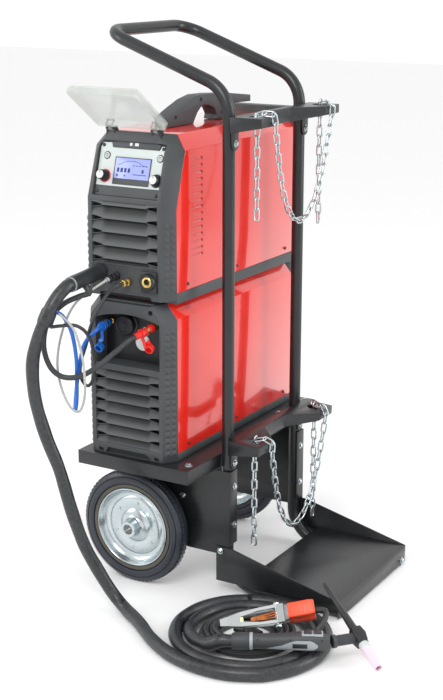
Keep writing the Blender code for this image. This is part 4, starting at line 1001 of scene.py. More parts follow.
def power_bezel():
    run, rise = CHAMFER
    top = POWER_TOP
    corners = across(FACE_HALF, FRONT_Y, POWER_BEZEL_Z) + across(FACE_HALF, FRONT_Y, FACE_TURN)
    corners += across(0.0805, face_y(0.928), 0.928) + across(0.057, face_y(0.968), 0.968)
    corners += across(CASE_HALF, SEAM_Y, POWER_BEZEL_Z) + across(CASE_HALF, SEAM_Y, SEAM_TURN)
    corners += across(CASE_HALF, seam_y(top - rise), top - rise) + across(CASE_HALF - run, seam_y(top), top)
    body = hull(corners)
    behind = [(SEAM_Y, 0.6), (SEAM_Y, SEAM_TURN), (seam_y(1.0), 1.0), (0.1, 1.0), (0.1, 0.6)]
    body = boolean(body, prism(behind, -0.3, -0.04, "YZ"))
    body = boolean(body, window_block(POWER_WINDOW))
    sunk = placed(block((MID_X - 0.077, 0.006, -0.010), (MID_X + 0.077, 0.116, 0.02)), ON_PANEL)
    body = boolean(body, sunk)
    arch = [(-0.236, 0.635), (-0.228, 0.6490), (-0.110, 0.6490), (-0.102, 0.635)]
    body = boolean(body, prism(arch, FRONT_Y - 0.01, SEAM_Y + 0.01, "XZ"))
    plate = block((-0.2465, FRONT_Y - 0.01, 0.6530), (-0.0915, FRONT_Y + 0.0011, 0.7060))
    body = boolean(body, plate)
    round_edges(body, 0.0009, 2)
    piece("welder_front_moulding", body, TROLLEY, "bezel_plastic", ["welder_front_bezel"])
    louvred_front("welder_front_louvres", *POWER_WINDOW, 0.7175, 0.0270, 5)
    facets("welder_front_studs", 0.6600, 0.8010)
    blocks = []
    y, z = LID_HINGE
    ear = [(y - 0.0006, 0.955), (y - 0.0006, 0.9755), (y + 0.001, 0.9770)]
    ear += [(y + 0.006, 0.9770), (y + 0.010, 0.968), (y + 0.010, 0.955)]
    for x in LID_ARM_X:
        for side in (-1, 1):
            low, high = sorted((x + side * 0.0055, x + side * 0.0118))
            blocks.append(prism(ear, low, high, "YZ", 0.0008))
        blocks.append(drum((x - 0.0125, y, z), (x + 0.0125, y, z), 0.0022))
    piece("lid_hinge_blocks", join(*blocks), TROLLEY, "black_plastic")


def cooler_bezel():
    run, rise = CHAMFER
    top = COOLER_TOP
    corners = across(FACE_HALF, FRONT_Y, COOLER_Z) + across(FACE_HALF, FRONT_Y, top - 0.037)
    corners += across(0.060, FRONT_Y, top - 0.004)
    corners += across(CASE_HALF, SEAM_Y, COOLER_Z) + across(CASE_HALF, SEAM_Y, top - rise)
    corners += across(CASE_HALF - run, SEAM_Y, top)
    body = hull(corners)
    bucket = block((-0.247, SEAM_Y - 0.002, 0.495), (-0.085, RECESS_BACK + 0.004, 0.611))
    body = boolean(body, bucket, "UNION")
    arch = [(-0.243, 0.4990), (-0.089, 0.4990), (-0.089, 0.5940)]
    for i in range(1, 12):
        t = i / 12
        arch.append((-0.089 - 0.154 * t, 0.5940 + 0.0130 * (1 - (2 * t - 1) ** 2)))
    arch.append((-0.243, 0.5940))
    body = boolean(body, prism(arch, FRONT_Y - 0.01, RECESS_BACK, "XZ"))
    body = boolean(body, window_block(COOLER_WINDOW))
    hole = drum((-0.1100, FRONT_Y - 0.01, 0.6165), (-0.1100, FRONT_Y + 0.016, 0.6165), 0.0052, 0.0001, 24)
    body = boolean(body, hole)
    middle = [(-0.224, 0.3062), (-0.218, 0.3175), (-0.126, 0.3175), (-0.1175, 0.3125), (-0.1125, 0.3062)]
    body = boolean(body, prism(middle, FRONT_Y - 0.01, FRONT_Y + 0.016, "XZ"))
    # A near-black prism behind each slot stands for its dark opening: painted shade.
    slot_shade = prism(middle, FRONT_Y + 0.0050, FRONT_Y + 0.0155, "XZ")
    for x in (-0.2355, -0.0990):
        slot = [(x - 0.0070, 0.3150), (x - 0.0050, 0.3080), (x + 0.0070, 0.3068), (x + 0.0050, 0.3140)]
        body = boolean(body, prism(slot, FRONT_Y - 0.01, FRONT_Y + 0.016, "XZ"))
        slot_shade = join(slot_shade, prism(slot, FRONT_Y + 0.0050, FRONT_Y + 0.0155, "XZ"))
    piece("cooler_foot_slots", slot_shade, TROLLEY, "black_plastic", surface=PAINTED_HOLE_SHADE)
    eyebrow = [(-0.236, 0.640), (-0.228, 0.6290), (-0.110, 0.6290), (-0.102, 0.640)]
    body = boolean(body, prism(eyebrow, FRONT_Y - 0.01, FRONT_Y + 0.014, "XZ"))
    round_edges(body, 0.0009, 2)
    piece("cooler_front_moulding", body, TROLLEY, "bezel_plastic", ["cooler_front_bezel"])
    louvred_front("cooler_front_louvres", *COOLER_WINDOW, 0.3450, 0.0246, 6)
    facets("cooler_front_studs", 0.3180, 0.5870)
    low, high = (-0.2425, RECESS_BACK - 0.0006, 0.4995), (-0.0895, RECESS_BACK - 0.0001, 0.6060)
    lining = block(low, high, 0.0001, 1)
    piece("recess_lining", lining, TROLLEY, "black_plastic")


def cases():
    for name in ("cooler_case", "welder_case"):
        refined(name, "red_paint", width=0.0016, segments=3)
    for name in ("cooler_rear_bezel", "welder_rear_bezel"):
        refined(name, "bezel_plastic", width=0.0022, segments=3)
    for name in ("cooler_base", "welder_base"):
        refined(name, "bezel_plastic", width=0.0008)
    gills = []
    holes = []
    for side in (-1, 1):
        face = MID_X + side * CASE_HALF
        for i in range(15):
            z = 0.7225 + 0.0138 * i
            y0, y1 = -0.190, -0.146
            wedge = [
                (-0.0008, y0, 0), (0.0002, y0, -0.0006), (0.0002, y0, 0.0006), (-0.0008, y1, -0.0038),
                (-0.0008, y1, 0.0030), (0.0024, y1, -0.0022), (0.0024, y1, 0.0016),
            ]
            # A near-black wedge in each louvre's open end: painted shade in the opening.
            mouth = [
                (-0.0004, y1 - 0.0004, -0.0040), (-0.0004, y1 - 0.0004, 0.0032),
                (0.0026, y1 - 0.0004, -0.0022), (0.0026, y1 - 0.0004, 0.0018),
                (0.0002, y1 + 0.0040, -0.0006), (-0.0004, y1 + 0.0030, -0.0034),
            ]
            gills.append(hull([(face + side * x, y, z + rise) for x, y, rise in wedge], 0.0004, 1))
            holes.append(hull([(face + side * x, y, z + rise) for x, y, rise in mouth]))
    piece("side_louvres", join(*gills), TROLLEY, "red_paint")
    piece("side_louvre_mouths", join(*holes), TROLLEY, "black_plastic", surface=PAINTED_HOLE_SHADE)
    screws = []
    for side in (-1, 1):
        for z in (0.6690, 0.3330):
            for y in (-0.200, 0.000, 0.215):
                screws.append(screw_head((MID_X + side * CASE_HALF, y, z), (side, 0, 0)))
    piece("case_screws", join(*screws), TROLLEY, "black_plastic")
    refined("carry_handle", "bezel_plastic", width=0.0034, segments=3)
    spots = []
    for side in (-1, 1):
        for y, z in [(-0.100, 0.9845), (0.000, 1.0125), (0.080, 1.0030), (0.086, 0.9790)]:
            # Near-black wells for the screw holes: painted shade in the recesses.
            well = lathe(
                [(0, 0), (0.0040, 0), (0.0040, 0.0009), (0.0028, 0.0009), (0.0022, 0.0003), (0, 0.0003)],
                (MID_X + side * 0.0159, y, z), (side, 0, 0), 20,
            )
            spots.append(well)
    piece("carry_handle_screws", join(*spots), TROLLEY, "black_plastic", surface=PAINTED_HOLE_SHADE)


def panel_box(low, high, width=0.0003, segments=1):
    return placed(block(low, high, width, segments), ON_PANEL)


def panel():
    refined("control_panel", "black_plastic", width=0.0004)
    black = LOOKS["black_plastic"]
    n = PANEL_TOP
    plate = [(-0.2440, 0.0270), (-0.0940, 0.0270), (-0.0940, 0.1060), (-0.0965, 0.1120), (-0.1020, 0.1120)]
    plate += [(-0.1060, 0.1035), (-0.2160, 0.1035), (-0.2200, 0.1135), (-0.2385, 0.1120), (-0.2440, 0.1040)]
    sheet = placed(prism(plate, n - 0.0002, n + 0.0009, "XY", 0.0003, 1), ON_PANEL)
    piece("panel_face", sheet, TROLLEY, "knob_plastic", surface=PANEL_WHITE)
    tab = [(-0.2150, 0.1040), (-0.1070, 0.1040), (-0.1030, 0.1140)]
    for i in range(1, 10):
        t = i / 10
        tab.append((-0.1030 - 0.1160 * t, 0.1140 + 0.0060 * (1 - (2 * t - 1) ** 2)))
    tab.append((-0.2190, 0.1140))
    crown = placed(prism(tab, n - 0.0002, n + 0.0028, "XY", 0.0006, 2), ON_PANEL)
    strip = panel_box((-0.2440, 0.0075, n - 0.0002), (-0.0940, 0.0265, n + 0.0010))
    piece("panel_crown", join(crown, strip), TROLLEY, "bezel_plastic")
    marks = panel_box((-0.176, 0.1085, n + 0.0027), (-0.170, 0.1145, n + 0.0031))
    marks = join(marks, panel_box((-0.164, 0.1085, n + 0.0027), (-0.155, 0.1145, n + 0.0031)))
    piece("panel_marks", marks, TROLLEY, "knob_plastic")
    lcd = [(-0.2035, 0.032), (-0.1220, 0.084)]
    glass = panel_box((lcd[0][0], lcd[0][1], n), (lcd[1][0], lcd[1][1], n + 0.0024), 0.0004, 2)
    piece("lcd_shape", glass, TROLLEY, "screen_glass", ["lcd_screen"])
    top = n + 0.0024
    frame_bars = [
        (-0.2050, 0.0310, -0.1205, 0.0320), (-0.2050, 0.0840, -0.1205, 0.0855),
        (-0.2050, 0.0310, -0.2035, 0.0855), (-0.1220, 0.0310, -0.1205, 0.0855),
    ]
    rim = []
    for x0, s0, x1, s1 in frame_bars:
        bar = panel_box((x0, s0, n), (x1, s1, n + 0.0029))
        rim.append(bar)
    rim.append(panel_box((-0.2035, 0.0320, top - 0.0001), (-0.1220, 0.0430, top + 0.0001)))
    piece("lcd_rim", join(*rim), TROLLEY, "bezel_plastic")
    ink = []
    shapes = [(-0.198 + 0.0085 * i, 0.0555, -0.1925 + 0.0085 * i, 0.0640) for i in range(4)]
    shapes += [(-0.160, 0.0515, -0.128, 0.0530), (-0.140, 0.0560, -0.135, 0.0630)]
    shapes += [(-0.162 + 0.0075 * i, 0.0690, -0.1575 + 0.0075 * i, 0.0705) for i in range(5)]
    shapes += [(-0.198, 0.0470, -0.194, 0.0510), (-0.180, 0.0470, -0.177, 0.0510)]
    trace = [(-0.197, 0.070), (-0.190, 0.0715), (-0.182, 0.076), (-0.170, 0.0785)]
    trace += [(-0.158, 0.0785), (-0.147, 0.0755), (-0.140, 0.0715), (-0.130, 0.0705)]
    for (x0, s0), (x1, s1) in zip(trace, trace[1:]):
        low = Vector((x0, s0, top))
        line = Vector((x1, s1, top)) - low
        bar = block((0, -0.0004, -0.0001), (line.length, 0.0004, 0.0002))
        placed(bar, ON_PANEL @ Matrix.Translation(low) @ Matrix.Rotation(math.atan2(line.y, line.x), 4, "Z"))
        ink.append(bar)
    for x0, s0, x1, s1 in shapes:
        ink.append(panel_box((x0, s0, top - 0.0001), (x1, s1, top + 0.0002), 0.0001, 1))
    piece("lcd_figures", join(*ink), TROLLEY, "screen_glass", surface=SCREEN_INK)
    screws = []
    for x, s in [(-0.2375, 0.1070), (-0.2385, 0.0150), (-0.0995, 0.0150), (-0.0975, 0.1070)]:
        head = screw_head(ON_PANEL @ Vector((x, s, n + 0.0008)), OUT)
        screws.append(head)
    piece("panel_screws", join(*screws), TROLLEY, "black_plastic")
    left = ("left", -0.2250, 0.046, 0.0200, "red_plastic")
    right = ("right", -0.1035, 0.044, 0.0150, "black_plastic")
    for name, x, s, reach, ring in (left, right):
        body = name + "_knob"
        foot = ON_PANEL @ Vector((x, s, n + 0.0004))
        profile = [(0, 0), (0.0115, 0), (0.0115, 0.0028), (0.0106, 0.0040), (0.0098, 0.0050)]
        profile += [(0.0092, reach - 0.0014), (0.0086, reach - 0.0004), (0, reach - 0.0004)]
        knob = [lathe(profile, foot, OUT, 48)]
        for i in range(20):
            a = 2 * math.pi * i / 20
            rib = block((0.0088, -0.0004, 0.0048), (0.0101, 0.0004, reach - 0.0016), 0.0002, 1)
            knob.append(placed(rib, Matrix.Translation(foot) @ facing(OUT) @ Matrix.Rotation(a, 4, "Z")))
        piece("knob_body_" + name, join(*knob), body, "knob_plastic", ["knob_" + name], black)
        profile = [(0, 0), (0.0083, 0), (0.0083, 0.0006), (0.0076, 0.0011), (0, 0.0012)]
        cap = lathe(profile, foot + OUT * (reach - 0.0006), OUT, 40)
        piece("knob_cap_" + name, cap, body, "knob_plastic")
        pointer = block((-0.0005, 0.0030, reach + 0.0002), (0.0005, 0.0074, reach + 0.0008))
        placed(pointer, Matrix.Translation(foot) @ facing(OUT, "Y"))
        piece("knob_pointer_" + name, pointer, body, "knob_plastic", surface=black)
        profile = [(0.0118, 0), (0.0134, 0), (0.0134, 0.0014), (0.0118, 0.0020)]
        collar = lathe(profile, ON_PANEL @ Vector((x, s, n)), OUT, 40)
        piece("knob_ring_" + name, collar, TROLLEY, ring)
    for name, x, s in (("left", -0.2265, 0.087), ("right", -0.1020, 0.088)):
        foot = ON_PANEL @ Vector((x, s, n - 0.0013))
        profile = [(0, 0), (0.0059, 0), (0.0059, 0.0036), (0.0054, 0.0041), (0.0040, 0.0043), (0, 0.0043)]
        cap = lathe(profile, foot, OUT, 32)
        piece("button_cap_" + name, cap, name + "_button", "knob_plastic", ["button_" + name])
        mark = hoop(0.0026, 0.0034, 0.0042, 0.0046, foot, OUT, 28)
        tick = block((-0.0004, -0.0004, 0.0042), (0.0004, 0.0024, 0.0046))
        placed(tick, Matrix.Translation(foot) @ facing(OUT, "Y"))
        piece("button_mark_" + name, join(mark, tick), name + "_button", "knob_plastic", surface=black)
        profile = [(0.0061, 0.0007), (0.0078, 0.0007), (0.0078, 0.0014), (0.0061, 0.0017)]
        ring = lathe(profile, ON_PANEL @ Vector((x, s, n)), OUT, 32)
        piece("button_ring_" + name, ring, TROLLEY, "black_plastic")
    refined("panel_lid", "clear_plastic", "lid", width=0.0006)
    hinge_axis = Matrix.Translation((0, *LID_HINGE))
    opened = hinge_axis @ Matrix.Rotation(LID_OPENING, 4, "X") @ hinge_axis.inverted() @ ON_PANEL
    knuckles = []
    for x in LID_ARM_X:
        for low, high in (
            ((x - 0.0080, 0.1262, 0.0010), (x + 0.0080, 0.1328, 0.0030)),
            ((x - 0.0080, 0.1262, 0.0030), (x - 0.0062, 0.1328, 0.0160)),
            ((x + 0.0062, 0.1262, 0.0030), (x + 0.0080, 0.1328, 0.0160)),
            ((x - 0.0080, 0.1262, 0.0142), (x + 0.0080, 0.1328, 0.0160)),
        ):
            knuckles.append(placed(block(low, high, 0.0003, 1), opened))
    piece("lid_knuckles", join(*knuckles), "lid", "clear_plastic")


def connections():
    rubber = "hose_rubber"
    start, end = TORCH_PLUG
    along = (end - start).normalized()
    long = (end - start).length
    profile = [
        (0, 0), (0.0172, 0), (0.0172, 0.006), (0.0158, 0.0085), (0.0155, 0.020), (0.0151, 0.060),
        (0.0155, long - 0.010), (0.0155, long - 0.001), (0.0146, long), (0, long),
    ]
    piece("torch_plug_sleeve", lathe(profile, start, along, 48), TROLLEY, rubber, ["torch_plug"])
    rim = hoop(0.0134, 0.0152, long - 0.0015, long + 0.0022, start, along, 40)
    piece("torch_plug_rim", rim, TROLLEY, rubber, surface=PALE_GREY)
    start, end = CONTROL_PLUG
    along = (end - start).normalized()
    long = (end - start).length
    profile = [
        (0, 0), (0.0088, 0), (0.0088, 0.004), (0.0080, 0.005), (0.0080, 0.0145), (0.0074, 0.0150),
        (0.0074, 0.0165), (0.0080, 0.0170), (0.0080, long - 0.004), (0.0060, long), (0, long),
    ]
    piece("control_plug_shell", lathe(profile, start, along, 36), TROLLEY, "black_plastic", ["control_plug"])
    profile = [(0.0028, long - 0.0045), (0.0062, long - 0.0045), (0.0062, long + 0.0010)]
    profile += [(0.0050, long + 0.0030), (0.0028, long + 0.0030)]
    nut = lathe(profile, start, along, 24)
    ring = hoop(0.0074, 0.0083, 0.0152, 0.0164, start, along, 30)
    piece("control_plug_nut", join(nut, ring), TROLLEY, "zinc")
    start, end = GAS_FITTING
    along = (end - start).normalized()
    long = (end - start).length
    profile = [(0, 0), (0.0072, 0), (0.0072, 0.0028), (0.0052, 0.0032), (0.0052, 0.0070), (0.0064, 0.0074)]
    profile += [(0.0064, 0.0150), (0.0052, 0.0158), (0.0046, long), (0, long)]
    fitting = [lathe(profile, start, along, 30)]
    axes = axes_at(start, along, (0, 0, 1))
    for i in range(14):
        a = 2 * math.pi * i / 14
        rib = block((0.0060, -0.0005, 0.0078), (0.0069, 0.0005, 0.0146), 0.0002, 1)
        fitting.append(placed(rib, axes @ Matrix.Rotation(a, 4, "X") @ Matrix.Rotation(math.pi / 2, 4, "Y")))
    piece("gas_fitting_shape", join(*fitting), TROLLEY, "brass", ["gas_fitting"])
    x, z = -0.111, 0.681
    at = Vector((x, FRONT_Y - 0.0003, z))
    low, high = (x - 0.0195, FRONT_Y - 0.0030, z - 0.0225), (x + 0.0185, FRONT_Y + 0.0008, z + 0.0200)
    plate = block(low, high, 0.0012)
    profile = [(0.0118, 0), (0.0172, 0), (0.0172, 0.0100)]
    profile += [(0.0160, 0.0118), (0.0130, 0.0118), (0.0118, 0.0104)]
    outer = lathe(profile, at, (0, -1, 0), 44)
    piece("earth_socket_body", join(plate, outer), TROLLEY, "black_plastic", ["earth_socket"])
    profile = [(0.0062, 0.002), (0.0112, 0.002), (0.0112, 0.0104)]
    profile += [(0.0100, 0.0114), (0.0070, 0.0110), (0.0062, 0.0100)]
    core = lathe(profile, at, (0, -1, 0), 40)
    low, high = (x - 0.0015, FRONT_Y - 0.0108, z - 0.0095), (x + 0.0015, FRONT_Y - 0.0060, z - 0.0045)
    lug = block(low, high, 0.0003)
    piece("earth_socket_brass", join(core, lug), TROLLEY, "brass")
    # A near-black disc down in the socket: painted shade in its bore.
    hollow = drum((x, FRONT_Y - 0.0034, z), (x, FRONT_Y - 0.0040, z), 0.0066, 0.0001)
    piece("earth_socket_depth", hollow, TROLLEY, "black_plastic", surface=PAINTED_HOLE_SHADE)


def coupling(name, ends, slot, cap_at, sway):
    start, end = ends
    along = (end - start).normalized()
    long = (end - start).length
    profile = [(0, 0), (0.0066, 0), (0.0066, 0.008), (0.0050, 0.009), (0.0050, 0.014), (0.0074, 0.0150)]
    profile += [(0.0078, 0.0180), (0.0078, 0.0255), (0.0072, 0.0270), (0, 0.0270)]
    collar = lathe(profile, start, along, 36)
    piece(f"coupling_{name}_brass", collar, TROLLEY, "brass")
    profile = [(0, 0.0262), (0.0084, 0.0262), (0.0086, 0.0300), (0.0086, 0.0385), (0.0078, 0.0400)]
    profile += [(0.0074, 0.0480), (0.0070, long - 0.002), (0.0062, long), (0, long)]
    sleeve = lathe(profile, start, along, 36)
    piece(f"coupling_{name}_sleeve", sleeve, TROLLEY, slot, ["coupling_" + name])
    band = hoop(0.0080, 0.0089, 0.0395, 0.0440, start, along, 36)
    piece(f"coupling_{name}_band", band, TROLLEY, "brass")
    hang = start + along * 0.056
    cap_at = Vector(cap_at)
    route = smooth_route([
        hang + Vector((0, 0, -0.0060)),
        hang + Vector((sway * 0.30, 0.002, -0.018)),
        hang + Vector((sway * 0.55, 0.004, -0.030)),
        cap_at + Vector((-sway * 0.2, 0, 0.010)),
        cap_at + Vector((0, 0.001, 0.002)),
    ], 0.003)
    strap = bmesh.new()
    rings = []
    for i, point in enumerate(route):
        ahead = (route[min(i + 1, len(route) - 1)] - route[max(i - 1, 0)]).normalized()
        wide = ahead.cross(Vector((0, 1, 0))).normalized() * 0.0034
        thick = ahead.cross(wide).normalized() * 0.0010
        corners = (point - wide - thick, point + wide - thick, point + wide + thick, point - wide + thick)
        rings.append([strap.verts.new(corner) for corner in corners])
    for first, second in zip(rings, rings[1:]):
        for i in range(4):
            j = (i + 1) % 4
            strap.faces.new((first[i], first[j], second[j], second[i]))
    strap.faces.new(rings[0])
    strap.faces.new(rings[-1][::-1])
    loop = hoop(0.0076, 0.0096, 0.0525, 0.0585, start, along, 32)
    profile = [(0, 0), (0.0088, 0), (0.0094, 0.0020), (0.0094, 0.0100), (0.0080, 0.0108)]
    profile += [(0.0070, 0.0108), (0.0070, 0.0030), (0, 0.0030)]
    cup = lathe(profile, cap_at + Vector((0, 0.004, -0.003)), Vector((sway * 6, -1, -0.35)), 32)
    piece(f"dust_cap_{name}", join(strap, loop, cup), TROLLEY, slot)


def cooler_details():
    at = Vector((-0.189, RECESS_BACK - 0.0003, 0.577))
    rim_r = 0.0205
    profile = [(0, 0), (0.0235, 0), (0.0235, 0.0030), (0.0220, 0.0042), (0.0205, 0.0046), (0, 0.0046)]
    flange = lathe(profile, at, (0, -1, 0), 56)
    piece("filler_neck", flange, TROLLEY, "black_plastic")
    profile = [(0, 0.0050), (rim_r, 0.0050), (rim_r + 0.0008, 0.0060), (rim_r, 0.0172), (0.0185, 0.0190)]
    profile += [(0.0150, 0.0190), (0.0142, 0.0172), (0.0070, 0.0168), (0.0062, 0.0180), (0, 0.0182)]
    cap = [lathe(profile, at, (0, -1, 0), 56)]
    for i in range(24):
        a = 2 * math.pi * i / 24
        rib = block((rim_r - 0.0006, -0.0007, 0.0058), (rim_r + 0.0014, 0.0007, 0.0166), 0.0003, 1)
        cap.append(placed(rib, Matrix.Translation(at) @ facing((0, -1, 0)) @ Matrix.Rotation(a, 4, "Z")))
    piece("filler_cap_shape", join(*cap), "tank_cap", "black_plastic", ["filler_cap"])
    glass_at = Vector((-0.153, RECESS_BACK - 0.0003, 0.5420))
    profile = [(0, 0), (0.0172, 0), (0.0172, 0.0026), (0.0160, 0.0036), (0, 0.0036)]
    disc = [lathe(profile, glass_at, (0, -1, 0), 48)]
    for i in range(9):
        z = -0.0128 + 0.0032 * i
        half = math.sqrt(0.0155**2 - z**2)
        rib = block(
            (glass_at.x - half, glass_at.y - 0.0044, glass_at.z + z - 0.0008),
            (glass_at.x + half, glass_at.y - 0.0030, glass_at.z + z + 0.0008), 0.0004, 1,
        )
        disc.append(rib)
    piece("level_window", join(*disc), TROLLEY, "knob_plastic")
    coupling("blue", BLUE_COUPLING, "blue_plastic", (-0.2270, -0.2780, 0.5380), -0.006)
    coupling("red", RED_COUPLING, "red_plastic", (-0.1060, -0.2780, 0.5520), 0.014)


# ---------------------------------------------------------------- rear


def rear():
    face = BACK_Y - 0.022
    slots = []
    for low, high in ((0.345, 0.560), (0.730, 0.860)):
        count = round((high - low) / 0.0120)
        for i in range(count + 1):
            z = low + (high - low) * i / count
            bar = hull([
                (MID_X - 0.060, face - 0.0002, z - 0.0040), (MID_X + 0.060, face - 0.0002, z - 0.0040),
                (MID_X - 0.060, face - 0.0002, z + 0.0030), (MID_X + 0.060, face - 0.0002, z + 0.0030),
                (MID_X - 0.058, face + 0.0042, z - 0.0034), (MID_X + 0.058, face + 0.0042, z - 0.0034),
            ], 0.0004, 1)
            slots.append(bar)
    piece("rear_louvres", join(*slots), TROLLEY, "bezel_plastic")
    guard = []
    centre = Vector((MID_X, face + 0.0050, 0.795))
    for radius in (0.020, 0.032, 0.044, 0.056):
        guard.append(hoop(radius - 0.0011, radius + 0.0011, -0.001, 0.0012, centre, (0, 1, 0), 56))
    for i in range(4):
        a = math.pi * i / 4 + math.pi / 8
        arm = Vector((math.cos(a), 0, math.sin(a))) * 0.058
        guard.append(drum(centre - arm, centre + arm, 0.0013))
    piece("fan_guard", join(*guard), TROLLEY, "black_plastic")
    refined("main_switch", "black_plastic", "power_switch", width=0.0008)
    plate = block((-0.141, face - 0.0002, 0.862), (-0.089, face + 0.0012, 0.8985), 0.0005)
    piece("switch_plate", plate, TROLLEY, "grey_metal")
    refined("mains_gland", "black_plastic", width=0.0012)
    screws = []
    for x in (MID_X - 0.096, MID_X + 0.096):
        for z in (0.318, 0.590, 0.648, 0.930):
            head = screw_head((x, BACK_Y - 0.0002, z), (0, 1, 0))
            screws.append(head)
    piece("rear_screws", join(*screws), TROLLEY, "zinc")


# ---------------------------------------------------------------- torch and clamp


# Along the handle: how far along, half its width, half its height, and how high its middle lies
HANDLE_SHAPE = [
    (0.000, 0.0135, 0.0135, 0.0), (0.004, 0.0152, 0.0152, 0.0), (0.012, 0.0162, 0.0162, 0.0),
    (0.030, 0.0160, 0.0158, 0.0), (0.036, 0.0142, 0.0142, 0.0), (0.052, 0.0136, 0.0138, 0.0),
    (0.078, 0.0140, 0.0146, 0.0004), (0.105, 0.0150, 0.0158, 0.0008), (0.130, 0.0162, 0.0174, 0.0012),
    (0.155, 0.0166, 0.0178, 0.0010), (0.172, 0.0158, 0.0164, 0.0004), (0.181, 0.0138, 0.0142, 0.0),
]


def handle_skin(u, v):
    """How far the handle's skin stands out sideways at height v, at u along it."""
    for (u0, y0, z0, c0), (u1, y1, z1, c1) in zip(HANDLE_SHAPE, HANDLE_SHAPE[1:]):
        if u <= u1:
            break
    t = min(1.0, max(0.0, (u - u0) / (u1 - u0)))
    half_y, half_z, centre = y0 + (y1 - y0) * t, z0 + (z1 - z0) * t, c0 + (c1 - c0) * t
    share = min(0.98, abs(v - centre) / half_z)
    return half_y * (1 - share**2.6) ** (1 / 2.6)


def shell_patch(axes, edges, proud):
    """A thin plate that follows the handle's skin, between two heights given at stations along it."""
    stations = []
    for (u0, low0, high0), (u1, low1, high1) in zip(edges, edges[1:]):
        for k in range(4):
            t = k / 4
            stations.append((u0 + (u1 - u0) * t, low0 + (low1 - low0) * t, high0 + (high1 - high0) * t))
    stations.append(edges[-1])
    steps = 8
    bm = bmesh.new()
    outer, inner = [], []
    for u, low, high in stations:
        heights = [low + (high - low) * i / steps for i in range(steps + 1)]
        outer.append([bm.verts.new(axes @ Vector((u, -handle_skin(u, v) - proud, v))) for v in heights])
        inner.append([bm.verts.new(axes @ Vector((u, -handle_skin(u, v) + 0.0015, v))) for v in heights])
    for sheet in (outer, inner):
        for first, second in zip(sheet, sheet[1:]):
            for i in range(steps):
                bm.faces.new((first[i], first[i + 1], second[i + 1], second[i]))
    for i in range(len(stations) - 1):
        for edge in (0, steps):
            bm.faces.new((outer[i][edge], outer[i + 1][edge], inner[i + 1][edge], inner[i][edge]))
    for end in (0, -1):
        for i in range(steps):
            bm.faces.new((outer[end][i], outer[end][i + 1], inner[end][i + 1], inner[end][i]))
    return bm


